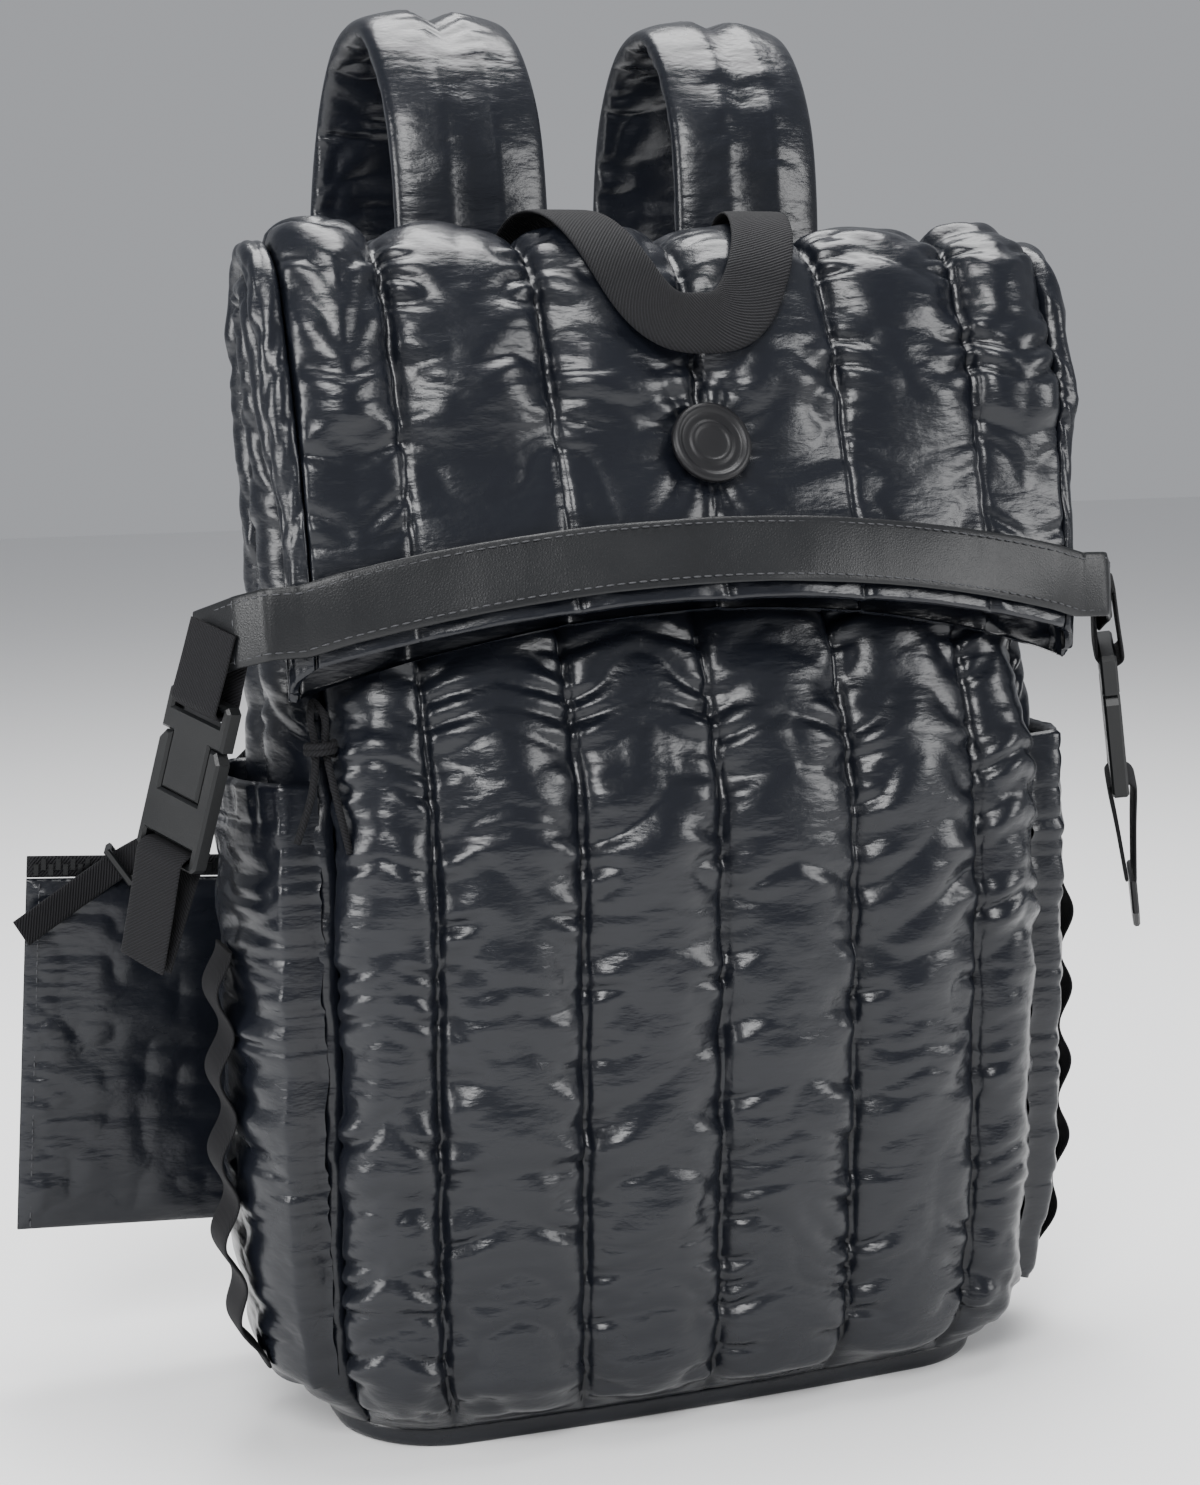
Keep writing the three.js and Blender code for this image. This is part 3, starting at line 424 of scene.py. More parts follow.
# quilted panels
quilt = {"puff": 8.0, "extra": 3.5, "gather": 3.2, "fold": 2.6, "gap": 0.8, "seamLevel": -8, "badgeRun": 2.52}


def channelPlace(t, seamList):
    i = np.clip(np.searchsorted(seamList, t, side="right") - 1, 0, len(seamList) - 2)
    return i, (t - seamList[i]) / (seamList[i + 1] - seamList[i])


def quiltLevel(panel, t, run, seamList, widthMm, arc, seed, scale=1.0):
    i, u = channelPlace(t, seamList)
    channel = (seamList[i + 1] - seamList[i]) * widthMm
    seamDistance = np.minimum(u, 1 - u) * channel
    rim = 1 - 0.75 * smooth(run, 2.3, 2.6)
    hem = smooth(run * (bag["crest"] - bag["base"]) + 3, 0, 18)
    free = (1 - smooth(run, 0.60, 0.70)) if panel == "front" else (1 - smooth(run, 2.3, 2.45))
    dome = np.sin(np.pi * np.clip(u, 0, 1)) ** 0.55
    lumps = clothNoise(i * 7.3 + 0.2, arc / 46, seed) * 0.22
    puff = quilt["puff"] + quilt["extra"] * free * (1 + lumps * 2)
    level = quilt["seamLevel"] + scale * dome * hem * rim * puff
    # puckers pulled out of each stitched seam
    nearSeam = np.exp(-((seamDistance - 5) / 11.0) ** 2) + 0.3 * dome
    pull = clothNoise(seamDistance / 30 + i * 5, arc / 9.5 + np.abs(u - 0.5) * 1.6 + i * 3.1, seed + 1)
    pull = np.abs(pull) * 1.3 - 0.45
    pull2 = np.abs(clothNoise(seamDistance / 17 + i * 9, arc / 4.6, seed + 2)) - 0.3
    # slack folds slanting over each channel
    slant = arc / 21 + (u - 0.5) * channel / 42 * np.where(i % 2, 1, -1)
    folds = np.abs(clothNoise(u * channel / 55 + i * 4, slant, seed + 3)) * 1.3 - 0.4
    amount = hem * (0.35 + 0.65 * rim) * scale
    level = level + amount * nearSeam * (pull * quilt["gather"] + pull2 * 0.8)
    level = level + amount * dome * folds * quilt["fold"] * np.where(free > 0.5, 1, 0.4)
    stitchDip = np.exp(-(seamDistance / 1.3) ** 2) * 1.3
    return level - stitchDip * hem


def panelRuns(count):
    return np.concatenate([np.linspace(0, 1, int(count * 0.66)), np.linspace(1, 2, int(count * 0.15))[1:],
                           np.linspace(2, 3, int(count * 0.19))[1:]])


def quiltedPanel(panel, node, seamList, widthMm, across, along, seed, scale=1.0):
    edge = quilt["gap"] / widthMm
    t = np.linspace(seamList[0] + edge, seamList[-1] - edge, across)
    run = panelRuns(along)
    T, R = np.meshgrid(t, run)
    base = tubePoint(panel, T, R)
    n = tubeNormal(panel, T, R)
    middle = base[:, across // 2]
    arc = np.broadcast_to(lengthsAlong(middle)[:, None], T.shape)
    level = quiltLevel(panel, T, R, seamList, widthMm, arc, seed, scale)
    if panel == "back":  # gathers round the badge
        hub = tubePoint("back", np.array(0.0), np.array(quilt["badgeRun"]))
        dx, dz = base[..., 0] - hub[0], base[..., 2] - hub[2]
        r, angle = np.hypot(dx, dz), np.arctan2(dz, dx)
        near = np.exp(-(r / 30) ** 2) * smooth(R, 2.0, 2.15)
        level = level + near * (np.abs(np.sin(angle * 5.5 + 0.6)) * 2.4 - 1.4)
        level = level - 1.6 * np.exp(-(r / 20) ** 2) * (R > 2)
    pts = base + n * level[..., None]
    turned = [pts[-1] - n[-1] * depth for depth in (1.5, 3.2)]  # the rim edge is turned in
    pts = np.concatenate([pts, np.array(turned)])
    foot = [pts[0] - n[0] * 3]
    pts = np.concatenate([np.array(foot), pts])
    left = pts[:, :1] - np.concatenate([n[:1], n, n[-1:], n[-1:]])[:, :1] * 3
    right = pts[:, -1:] - np.concatenate([n[:1], n, n[-1:], n[-1:]])[:, -1:] * 3
    pts = np.concatenate([left, pts, right], 1)
    obj = gridMesh(node + "_cloth", pts)
    finishPiece(obj, nylon, "quilt", node)
    return obj


frontPanel = quiltedPanel("front", "front_panel", seams, 163, 200, 400, 11)
backPanel = quiltedPanel("back", "back_panel", seams, 163, 200, 420, 23)
for side, seed in (("left", 37), ("right", 53)):
    quiltedPanel(side, "side_panel_" + side, np.array([0, 0.5, 1.0]), 96, 60, 360, seed, 0.7)
print("quilted panels made")

# base
basePlate = {"offset": -12}


def makeBase():
    ring = []
    for panel, t in (("front", np.linspace(-0.93, 0.93, 90)), ("right", np.linspace(0, 1, 40)[1:-1]),
                     ("back", np.linspace(0.93, -0.93, 90)), ("left", np.linspace(1, 0, 40)[1:-1])):
        run = np.zeros_like(t)
        ring.append(tubePoint(panel, t, run) + tubeNormal(panel, t, run) * basePlate["offset"])
    ring = np.concatenate(ring)
    centre = ring.mean(0)
    rows = []
    for inset, z in ((6, 0.0), (2, 0.0), (0.6, 0.7), (0, 2.5), (0, 6.5), (0.6, 8.0), (2.5, 8.5), (14, 8.5)):
        flat = ring - centre
        scale = 1 - inset / np.linalg.norm(flat[:, :2], axis=1, keepdims=True)
        row = centre + flat * scale
        row[:, 2] = z
        rows.append(row)
    cols = len(ring)
    faces = gridFaces(len(rows), cols, wrap=True)
    faces += [list(range(cols))[::-1], [(len(rows) - 1) * cols + k for k in range(cols)]]
    obj = meshFrom("base_cloth", np.concatenate(rows), faces)
    return finishPiece(obj, nylon, "quilt", "base_panel")


makeBase()

# side pockets
pocket = {"height": 262, "foot": 30, "gap": 11, "wall": 4, "clear": 0.5}


def pocketBow(t, run):
    up = run / runAt(pocket["height"])
    bow = pocket["clear"] + pocket["gap"] * np.sin(np.pi * np.clip(t, 0, 1)) ** 0.5 * smooth(up, 0, 0.3)
    edge = smooth(np.abs(t - 0.5), 0.40, 0.475)
    return bow * (1 - edge) + (-6.5) * edge


def makePocket(side, seed):
    t = np.linspace(0.03, 0.97, 90)
    run = np.linspace(runAt(pocket["foot"]), runAt(pocket["height"]), 190)
    T, R = np.meshgrid(t, run)
    base, n = tubePoint(side, T, R), tubeNormal(side, T, R)
    z, across = base[..., 2], T * 110
    fine = np.abs(clothNoise(across / 30, z / 7, seed)) * 2.0
    fine = fine + np.abs(clothNoise(across / 40, z / 17 + T, seed + 1)) * 2.6
    rim = smooth(z, 240, 262)
    gathers = np.abs(clothNoise(across / 6.0, z / 60, seed + 2)) * 3.0 * rim
    outer = pocketBow(T, R) + pocket["wall"] - 2.2 + fine * (1 - 0.6 * rim) + gathers
    top = base[-1] + n[-1] * pocketBow(T[-1:], R[-1:])[0][:, None]
    pts = base + n * outer[..., None]
    lip = [pts[-1] * 0.5 + top * 0.5 + [0, 0, 2.2], top + [0, 0, 0.5]]
    down = np.array([base[k] + n[k] * (pocketBow(T[k:k + 1], R[k:k + 1])[0][:, None] + 0.3)
                     for k in (180, 165, 140)])
    pts = np.concatenate([pts, np.array(lip), down])
    obj = gridMesh("pocket_cloth_" + side, pts)
    finishPiece(obj, nylon, "quilt", "side_pocket_" + side)


for side, seed in (("left", 71), ("right", 83)):
    makePocket(side, seed)
print("base and pockets made")

# webbing ladders on the pockets
ladder = {"pitch": 33, "lift": 6, "foot": 34, "loops": 5, "place": 0.42, "width": 25, "thickness": 1.8}


def makeLadder(side):
    i = np.linspace(0, ladder["loops"] * 4, 220)
    run = runAt(ladder["foot"] + ladder["pitch"] * i / 4)
    lift = ladder["lift"] * np.sin(np.pi * i / 4) ** 2
    t = np.full_like(run, ladder["place"])
    offset = pocketBow(t, run) + pocket["wall"] + 0.5 + ladder["thickness"] / 2 + lift + 0.6
    centre = tubePoint(side, t, run) + tubeNormal(side, t, run) * offset[:, None]
    across = np.tile([0, 1.0, 0], (len(run), 1))
    obj = stripMesh("ladder_webbing_" + side, centre, across, ladder["width"], ladder["thickness"])
    finishPiece(obj, webbing, "webbing", "ladder_" + side)


for side in ("left", "right"):
    makeLadder(side)

# leather rim band, its lining and its stitches
band = {"width": 26, "thickness": 2.4, "run": 2.86, "reach": 0.95, "wrapOut": 30, "wrapBack": 34,
        "offset": -4.8 + 1.2 + 0.8, "stitch": 4.2, "thread": 0.42, "inset": 10.4}


def bandLine(panel, reach):
    t = np.linspace(-reach, reach, 160)
    run = np.full_like(t, band["run"])
    n = tubeNormal(panel, t, run)
    centre = tubePoint(panel, t, run) + n * band["offset"]
    down = tubePoint(panel, t, run + 0.02) - tubePoint(panel, t, run - 0.02)
    down /= np.linalg.norm(down, axis=1, keepdims=True)
    return centre, down, n


def wrapEnds(centre, down):
    ends = {}
    for hand, last in ((-1, centre[0]), (1, centre[-1])):
        ends[hand] = [last + np.array([hand * band["wrapOut"] * out, band["wrapBack"] * back,
                                       -band["wrapBack"] * back * 0.3])
                      for out, back in ((0.42, 0.04), (0.7, 0.36), (1, 1))]
    path = np.array(ends[-1][::-1] + [p for p in centre[::8]] + [centre[-1]] + ends[1])
    turned = np.array([0, -0.1, -1.0])
    across = np.array([turned] * 3 + [d for d in down[::8]] + [down[-1]] + [turned] * 3)
    return path, across, ends


def makeBand():
    centre, down, _ = bandLine("back", band["reach"])
    path, across, ends = wrapEnds(centre, down)
    path, across = resample(path, 260, across)
    wave = lambda a, s, cz: clothNoise(a / 18, s / 23, 91) * 0.7
    obj = stripMesh("rim_band_leather", path, across, band["width"], band["thickness"], 24, 0.3, wave)
    finishPiece(obj, leather, "leather", "rim_band")
    tangent = np.gradient(path, axis=0)
    face = np.cross(tangent, across)
    face /= np.linalg.norm(face, axis=1, keepdims=True)
    if face[130][1] > 0:
        face = -face
    for place, sign in (("upper", -1), ("lower", 1)):
        line = path + across * sign * band["inset"] + face * (band["thickness"] / 2 + 0.1)
        stitches = stitchRow("band_stitches_" + place, line[8:-8], face[8:-8], band["stitch"], band["thread"])
        finishPiece(stitches, thread, "leather")
    for share in (14, 245):
        line = np.array([path[share] + across[share] * k + face[share] * (band["thickness"] / 2 + 0.1)
                         for k in np.linspace(-10, 10, 12)])
        normals = np.tile(face[share], (12, 1))
        stitches = stitchRow("band_cross_stitches_%d" % share, line, normals, band["stitch"], band["thread"])
        finishPiece(stitches, thread, "leather")
    centre, down, _ = bandLine("front", band["reach"] * 0.92)
    lining = stripMesh("rim_band_lining", centre, down, band["width"], band["thickness"], 20, 0.3)
    finishPiece(lining, leather, "leather", "rim_band_inner")
    return ends


bandEnds = makeBand()
print("band made")

# webbing loops on the buckles
buckle = {"length": 64, "thickness": 7, "bar": 3, "slot": 5, "drop": 60, "tail": 46,
          "lean": math.radians(14), "turn": math.radians(28), "flare": math.radians(7), "steps": 90}


def turnAbout(vector, axis, angle):
    axis = axis / np.linalg.norm(axis)
    turned = vector * math.cos(angle) + np.cross(axis, vector) * math.sin(angle)
    return turned + axis * axis.dot(vector) * (1 - math.cos(angle))


def loopPath(rise, spread):
    half = buckle["slot"] / 2 + buckle["bar"]
    faceOut = buckle["thickness"] / 2 + ladder["thickness"]
    front = [(0, 0), (0.02 * half, 0.45 * faceOut), (0.4 * half, 0.95 * faceOut), (half, faceOut),
             (rise * 0.5, (faceOut + spread) / 2), (rise, spread)]
    return front[::-1] + [(y, -z) for y, z in front[1:]]


def makeBuckleWebbing(side, hand):
    across = np.array([math.sin(buckle["turn"]), hand * math.cos(buckle["turn"]), 0])
    face = np.array([hand * math.cos(buckle["turn"]), -math.sin(buckle["turn"]), 0])
    along = turnAbout(np.array([0, 0, 1.0]), face, hand * buckle["lean"])
    along = turnAbout(along, across, -buckle["flare"])
    width = np.cross(along, face)
    width /= np.linalg.norm(width)
    end = (bandEnds[hand][-2] + bandEnds[hand][-1]) / 2
    origin = end - along * buckle["drop"]
    mouth = buckle["length"] * 0.4
    barMiddle = buckle["length"] - mouth - buckle["bar"] - buckle["slot"] / 2
    plugBar = buckle["bar"] + buckle["slot"] / 2 - mouth
    rise = buckle["drop"] - barMiddle + band["width"] * 0.2
    hanger = [origin + along * (barMiddle + y) + face * z
              for y, z in loopPath(rise, ladder["thickness"] + band["thickness"])]
    tail = [origin + along * (plugBar - y) + face * z for y, z in loopPath(buckle["tail"], ladder["thickness"])]
    steps = buckle["steps"]
    for name, points, node in (("buckle_loop_webbing_", hanger, "buckle_loop_"),
                               ("side_strap_webbing_", tail, "side_strap_")):
        across = np.tile(width, (steps, 1))
        obj = stripMesh(name + side, spline(points, steps), across, ladder["width"], ladder["thickness"])
        finishPiece(obj, webbing, "webbing", node + side)


for side, hand in (("left", -1), ("right", 1)):
    makeBuckleWebbing(side, hand)

# carry handle over the crest
handle = {"span": 104, "top": 0.97, "droop": 2.16, "lift": 2.8}


def makeHandle():
    share = np.sin(np.pi * (np.linspace(0, 1, 180) - 0.5))
    t = share * handle["span"] / bag["flapWidth"]
    run = handle["top"] + (handle["droop"] - handle["top"]) * (1 - np.abs(share) ** 3)
    n = tubeNormal("back", t, run)
    swell = 3.6 * smooth(run, 1.05, 1.5) * (1 - smooth(run, 2.3, 2.4)) + 1.2
    centre = tubePoint("back", t, run) + n * (handle["lift"] + swell)[:, None]
    along = np.gradient(centre, axis=0)
    across = np.cross(along, n)
    obj = stripMesh("carry_handle_webbing", centre, across, ladder["width"], ladder["thickness"])
    finishPiece(obj, webbing, "webbing", "handle")


makeHandle()
print("webbing made")

# padded shoulder straps
strap = {"width": 64, "thickness": 11, "spacing": 124, "rise": 88, "reach": 158, "steps": 420}
strapPath = [  # back, rise, out, width
    (0.34, -0.86, 0.94, 0.9), (0.3, -0.49, 0.96, 1.0), (0.278, 0.02, 0.97, 1.0), (0.335, 0.58, 0.98, 1.0),
    (0.519, 0.95, 1.0, 1.0), (0.747, 0.91, 1.02, 1.0), (0.918, 0.52, 1.04, 0.98), (1.0, -0.09, 1.07, 0.94),
    (0.99, -0.77, 1.1, 0.86), (0.91, -1.45, 1.13, 0.78), (0.76, -2.05, 1.17, 0.7), (0.61, -2.5, 1.22, 0.62),
]


def makeStrap(side, hand, seed):
    points = [(hand * strap["spacing"] * out / 2, strap["reach"] * back, bag["crest"] + strap["rise"] * rise)
              for back, rise, out, _ in strapPath]
    centre = spline(points, strap["steps"])
    place = np.linspace(0, len(strapPath) - 1, strap["steps"])
    widths = strap["width"] * np.interp(place, range(len(strapPath)), [w for *_, w in strapPath])
    across = np.tile([1.0, 0, 0], (strap["steps"], 1))

    def ripple(a, s, cz):
        half = widths[:, None] / 2
        share = a / half
        seam = np.exp(-(a / 4.0) ** 2)
        pucker = np.abs(clothNoise(a / 14 + 3, s / 8 + hand, seed)) * np.exp(-(a / 15) ** 2)
        inner = np.abs(clothNoise(a / 26, s / 7.5, seed + 1)) * 2.8
        inner = inner + np.abs(clothNoise(a / 15, s / 16 + a / 40, seed + 2)) * 2.2
        bulge = 1.6 * (1 - share ** 2)
        outside = bulge * 1.6 + pucker * 2.4 - seam * 4.6 + np.abs(clothNoise(a / 40, s / 30, seed + 3)) * 0.8
        inside = bulge + inner - seam * 2.2 - 1.2
        sign = np.sign(cz)[None, :]
        return sign * np.where(sign * outwardSign > 0, outside, inside) * np.minimum(np.abs(cz) * 4, 1)[None, :]

    outwardSign = 1 if np.cross(centre[60] - centre[50], [1.0, 0, 0])[1] < 0 else -1
    obj = stripMesh("shoulder_strap_cloth_" + side, centre, across, widths,
                    strap["thickness"] * 0.85, 84, 0.5, ripple)
    finishPiece(obj, nylon, "quilt", "shoulder_strap_" + side)
    return centre[-1], (centre[-1] - centre[-4]) / np.linalg.norm(centre[-1] - centre[-4])


strapEnds = {side: makeStrap(side, hand, seed) for side, hand, seed in (("left", -1, 101), ("right", 1, 113))}

# lower webbing and anchor tabs
anchor = {"height": 132, "length": 26, "tall": 66, "half": 1.4, "lock": 34,
          "webbing": 22.5, "thickness": 1.8, "steps": 120}


def makeLowerWebbing(side, hand):
    endPoint, down = strapEnds[side]
    lock = endPoint + down * (anchor["lock"] * 0.42 + 0.35)
    t1, r1 = np.array(1.0), np.array(runAt(anchor["height"]))
    seam = tubePoint(side, t1, r1) + tubeNormal(side, t1, r1) * (quilt["seamLevel"] + anchor["half"])
    out = np.array([hand * 0.45, 0.89, 0])
    out /= np.linalg.norm(out)
    tabEnd = seam + out * (anchor["length"] + 1)
    slot = lock + down * (anchor["lock"] * 0.3 + 2.5)
    route = [tabEnd, tabEnd + [-hand * 10, 10, 10], (slot + tabEnd) / 2, slot + down * 8]
    centre = spline(route, anchor["steps"])
    width = np.array([1.0, 0, 0]) - down * down[0]
    blend = np.linspace(0, 1, anchor["steps"])[:, None] ** 0.7
    across = np.array([0, 0, 1.0]) * (1 - blend) + width * blend
    obj = stripMesh("lower_webbing_" + side, centre, across, anchor["webbing"], anchor["thickness"])
    finishPiece(obj, webbing, "webbing", "strap_webbing_" + side)
    return seam, out


def makeAnchorTab(side, seam, out):
    rows = []
    for v in np.linspace(0, 1, 30):
        top, bottom = 0.5 + (0.18 - 0.5) * v, -0.5 + (-0.12 + 0.5) * v
        root = seam + out * v * anchor["length"]
        rows.append([root + np.array([0, 0, 1]) * anchor["tall"] * (bottom + (top - bottom) * u)
                     for u in np.linspace(0, 1, 40)])
    sheet = np.array(rows)
    normal = np.cross(out, [0, 0, 1.0])
    outer, inner = sheet + normal * anchor["half"], sheet - normal * anchor["half"]
    both = np.concatenate([outer, inner[::-1], outer[:1]])
    tab = gridMesh("anchor_tab_webbing_" + side, both)
    finishPiece(tab, webbing, "webbing", "anchor_tab_" + side)


for side, hand in (("left", -1), ("right", 1)):
    seam, out = makeLowerWebbing(side, hand)
    makeAnchorTab(side, seam, out)
print("straps made")

# flat pouch, its zip and its strap
pouch = {"width": 172, "height": 148, "thickness": 10, "x": -158, "y": 103, "z": 58, "tilt": math.radians(4),
         "zip": 9, "tape": 2.2, "teeth": 56}


def pouchPoint(x, y, z):
    up = np.array([math.sin(pouch["tilt"]), 0, math.cos(pouch["tilt"])])
    right = np.array([math.cos(pouch["tilt"]), 0, -math.sin(pouch["tilt"])])
    x, y, z = (np.asarray(v, float)[..., None] for v in (x, y, z))
    centre = np.array([pouch["x"], pouch["y"], pouch["z"] + pouch["height"] / 2])
    flat = centre + right * x * pouch["width"] + up * y * pouch["height"]
    return flat + np.array([0, 1.0, 0]) * z * pouch["thickness"]


def makePouch():
    u, v = np.meshgrid(np.linspace(0, 1, 150), np.linspace(0, 1, 130))
    full = np.minimum(np.sin(np.pi * u) * 2, 1) ** 0.5 * np.minimum(np.sin(np.pi * v) * 2, 1) ** 0.5
    edge = np.minimum(np.minimum(u, 1 - u), np.minimum(v, 1 - v))
    pieces = []
    for sign, seed in ((-1, 131), (1, 137)):
        folds = np.abs(clothNoise(u * 5, v * 9 + u * 2, seed)) * 0.22
        folds = folds + np.abs(clothNoise(u * 12, v * 16, seed + 1)) * 0.10
        pucker = np.abs(clothNoise(u * 9, v * 26, seed + 2)) * 0.24 * np.exp(-(u / 0.09) ** 2)
        depth = 0.08 + 0.34 * full + (folds + pucker) * np.minimum(edge * 18, 1)
        pieces.append(pouchPoint(u - 0.5, v - 0.5, sign * depth))
    both = np.concatenate([pieces[0], pieces[1][::-1], pieces[0][:1]])
    obj = gridMesh("pouch_cloth", both)
    finishPiece(obj, nylon, "quilt", "pouch")
    edgeLine = pouchPoint(np.full(60, -0.472), np.linspace(-0.48, 0.48, 60), np.full(60, -0.30))
    stitches = stitchRow("pouch_stitches", edgeLine, np.tile([0, -1.0, 0], (60, 1)), 3.4, 0.4)
    finishPiece(stitches, thread, "quilt")
    zipUp = 0.5 + (0.5 + pouch["zip"] / 2) / pouch["height"]
    line = pouchPoint(np.linspace(-0.5, 0.5, 60), np.full(60, zipUp), np.zeros(60))
    up = np.array([math.sin(pouch["tilt"]), 0, math.cos(pouch["tilt"])])
    tape = stripMesh("pouch_zip_tape", line, np.tile(up, (60, 1)), pouch["zip"], pouch["tape"])
    finishPiece(tape, webbing, "rubber", "pouch_zip")
    points, faces = [], []
    right = np.array([math.cos(pouch["tilt"]), 0, -math.sin(pouch["tilt"])])
    cube = [(a, b, c) for a in (-1, 1) for b in (-1, 1) for c in (-1, 1)]
    quads = [(0, 1, 3, 2), (4, 6, 7, 5), (0, 4, 5, 1), (2, 3, 7, 6), (0, 2, 6, 4), (1, 5, 7, 3)]
    for k in range(pouch["teeth"]):
        at = pouchPoint(-0.48 + 0.96 * k / (pouch["teeth"] - 1), zipUp, 0.0) + up * (1.1 if k % 2 else -1.1)
        first = len(points)
        points += [at + right * a * 1.0 + up * b * 2.3 + np.array([0, c * 1.9, 0]) for a, b, c in cube]
        faces += [[first + q for q in quad] for quad in quads]
    teeth = meshFrom("pouch_zip_teeth", points, faces, smoothShade=False)
    finishPiece(teeth, plastic, "rubber")
    return zipUp


zipUp = makePouch()
pouchStrap = {"height": 268, "lift": 4.7, "width": 12, "thickness": 1.26, "steps": 120}


def makePouchStrap():
    t, run = np.array(1.0), np.array(runAt(pouchStrap["height"]))
    start = tubePoint("left", t, run) + tubeNormal("left", t, run) * (quilt["seamLevel"] + pouchStrap["lift"])
    ring = pouchPoint(-0.3, zipUp, -(2 + 9 * 0.45 - 0.5) / pouch["thickness"])
    end = pouchPoint(-0.52, 0.36, -1.1)
    centre = spline([start, (start + ring) / 2 + [0, 2, -6], ring, end], pouchStrap["steps"])
    tangent = np.gradient(centre, axis=0)
    across = np.cross(np.tile([0, -1.0, 0], (pouchStrap["steps"], 1)), tangent)
    obj = stripMesh("pouch_strap_webbing", centre, across, pouchStrap["width"], pouchStrap["thickness"])
    finishPiece(obj, webbing, "webbing", "pouch_strap")


makePouchStrap()
print("pouch made")

# zip cord with its knot, at the front left seam
cord = {"diameter": 2.8, "length": 78, "height": 284}
cordShares = [(-0.15, -0.22, -0.5), (-0.06, -0.18, -0.27), (-0.025, -0.13, -0.07), (-0.035, -0.09, 0.07),
              (0, -0.016, 0.14), (0.035, -0.09, 0.07), (0.025, -0.13, -0.07), (0.05, -0.2, -0.29),
              (0.1, -0.24, -0.56)]


def makeCord():
    t, run = np.array(seams[0]), np.array(runAt(cord["height"]))
    seam = tubePoint("front", t, run)
    points = [seam + np.array(p) * cord["length"] for p in cordShares]
    centre = spline(points, 150)
    tangent = np.gradient(centre, axis=0)
    across = np.cross(tangent, np.tile([0, 1.0, 0.02], (150, 1)))
    obj = stripMesh("zip_cord_braid", centre, across, cord["diameter"], cord["diameter"], 14, 1.0)
    finishPiece(obj, webbing, "webbing", "zip_cord")
    middle = (points[2] + points[6]) / 2
    angle = np.linspace(0, 2 * math.pi * 2, 90)
    coil = middle + np.stack([5.0 * np.cos(angle), 5.0 * np.sin(angle), (angle / (4 * math.pi) - 0.5) * 4.4], 1)
    across = np.tile([0, 0, 1.0], (90, 1))
    turns = stripMesh("cord_knot_turns", coil, across, cord["diameter"], cord["diameter"], 12, 1.0)
    finishPiece(turns, webbing, "webbing", "cord_knot")
    return obj, turns, centre


cordObject, knotObject, cordLine = makeCord()

# badge with plain rings, turned on the flap
badge = {"radius": 16, "thickness": 4, "lift": 1.5, "steps": 96}
badgeProfile = [(0, 0.62), (0.36, 0.62), (0.42, 0.66), (0.48, 0.86), (0.54, 0.66), (0.6, 0.62), (0.72, 0.62),
                (0.77, 0.7), (0.82, 0.98), (0.88, 1.0), (0.94, 0.92), (0.985, 0.75), (1, 0.5),
                (0.985, 0.2), (0.94, 0)]


def makeBadge():
    t, run = np.array(0.0), np.array(quilt["badgeRun"])
    n = tubeNormal("back", t, run)
    flatRim = 1 - 0.75 * float(smooth(quilt["badgeRun"], 2.3, 2.6))
    offset = quilt["seamLevel"] + quilt["puff"] * flatRim + badge["lift"]
    at = tubePoint("back", t, run) + n * offset
    side = np.cross(n, [0, 0, 1.0])
    side /= np.linalg.norm(side)
    up = np.cross(side, n)
    steps = badge["steps"]
    angle = np.linspace(0, 2 * math.pi, steps, endpoint=False)
    ring = np.cos(angle)[:, None] * side + np.sin(angle)[:, None] * up
    rows = [at + n * f * badge["thickness"] + ring * max(r, 0.02) * badge["radius"] for r, f in badgeProfile]
    faces = gridFaces(len(rows), steps, wrap=True)
    faces += [list(range(steps))[::-1], [(len(rows) - 1) * steps + k for k in range(steps)]]
    obj = meshFrom("badge_disc", np.concatenate(rows), faces)
    finishPiece(obj, rubber, "rubber", "badge")


makeBadge()

# hard pieces keep their CAD shape and get the finished materials
for name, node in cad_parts.items():
    if name.startswith(("buckle_socket", "buckle_plug", "ladder_lock")) or name == "pouch_puller":
        node.data.materials.clear()
        node.data.materials.append(plastic)
    elif name == "strap_stop_right":
        node.data.materials.clear()
        node.data.materials.append(rubber)

# floor, light and camera
studio = {"floor": (0.86, 0.86, 0.86), "half": 6000, "world": 0.42}
studioLamps = [  # name, place, size, watts
    ("key", (-0.9, -1.5, 1.5), 0.8, 46), ("side", (-1.7, -0.2, 0.7), 0.7, 24),
    ("fill", (1.5, -1.2, 0.8), 0.8, 22), ("top", (0.2, 0.3, 1.9), 1.2, 62),
]


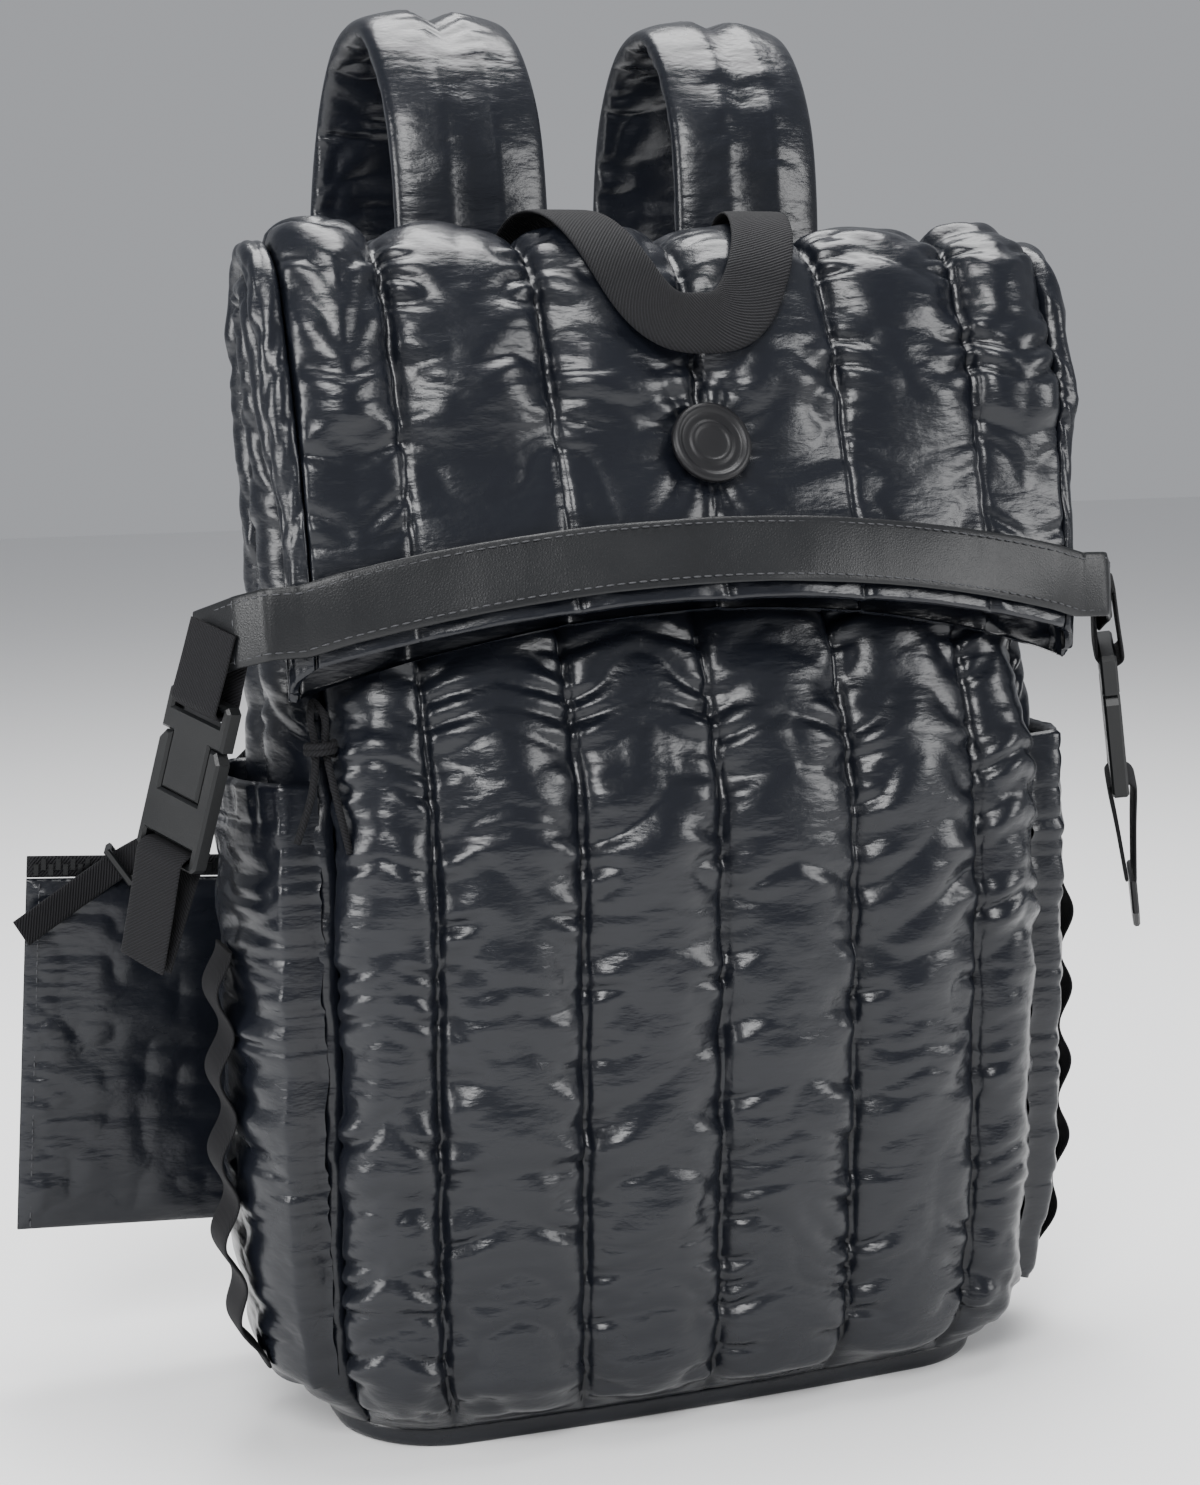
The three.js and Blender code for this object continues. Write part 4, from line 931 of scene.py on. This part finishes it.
def makeStudio():
    mat, tree, shader = newMaterial("pale floor", studio["floor"], 0.75)
    half = studio["half"]
    corners = np.array([[-half, -half, 0], [half, -half, 0], [half, half, 0], [-half, half, 0]]) - [0, 0, 0.2]
    floor = meshFrom("floor", corners, [[0, 1, 2, 3]], smoothShade=False)
    floor.data.materials.append(mat)
    floor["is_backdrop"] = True
    world = bpy.data.worlds.new("studio")
    world.use_nodes = True
    world.node_tree.nodes["Background"].inputs["Color"].default_value = (0.93, 0.95, 1.0, 1)
    world.node_tree.nodes["Background"].inputs["Strength"].default_value = studio["world"]
    bpy.context.scene.world = world
    for name, place, size, watts in studioLamps:
        light = bpy.data.lights.new(name, "AREA")
        light.energy, light.size = watts, size
        lamp = bpy.data.objects.new(name, light)
        lamp.location = place
        lamp.rotation_euler = (Vector((0, 0, 0.25)) - lamp.location).to_track_quat("-Z", "Y").to_euler()
        bpy.context.collection.objects.link(lamp)


view = {"place": (-0.3939, -0.9596, 0.4144), "yaw": 21.0, "pitch": 8.12, "roll": -0.8, "lens": 78.0}


def makeCamera():
    data = bpy.data.cameras.new("camera")
    data.sensor_fit, data.sensor_width, data.lens = "HORIZONTAL", 36, view["lens"]
    camera = bpy.data.objects.new("camera", data)
    yaw, pitch, roll = (math.radians(view[k]) for k in ("yaw", "pitch", "roll"))
    forward = Vector((math.sin(yaw) * math.cos(pitch), math.cos(yaw) * math.cos(pitch), -math.sin(pitch)))
    right = Vector((math.cos(yaw), -math.sin(yaw), 0))
    up = right.cross(forward)
    r2, u2 = right * math.cos(roll) + up * math.sin(roll), up * math.cos(roll) - right * math.sin(roll)
    matrix = camera.matrix_world.copy()
    for k in range(3):
        matrix[k][0], matrix[k][1], matrix[k][2], matrix[k][3] = r2[k], u2[k], -forward[k], view["place"][k]
    camera.matrix_world = matrix
    bpy.context.collection.objects.link(camera)
    bpy.context.scene.camera = camera


makeStudio()
makeCamera()
print("scene made")


def plain(value):
    return [plain(v) for v in value] if hasattr(value, "__len__") else float(value)


{"cad": plain(cadBounds), "visual": plain(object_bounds())}
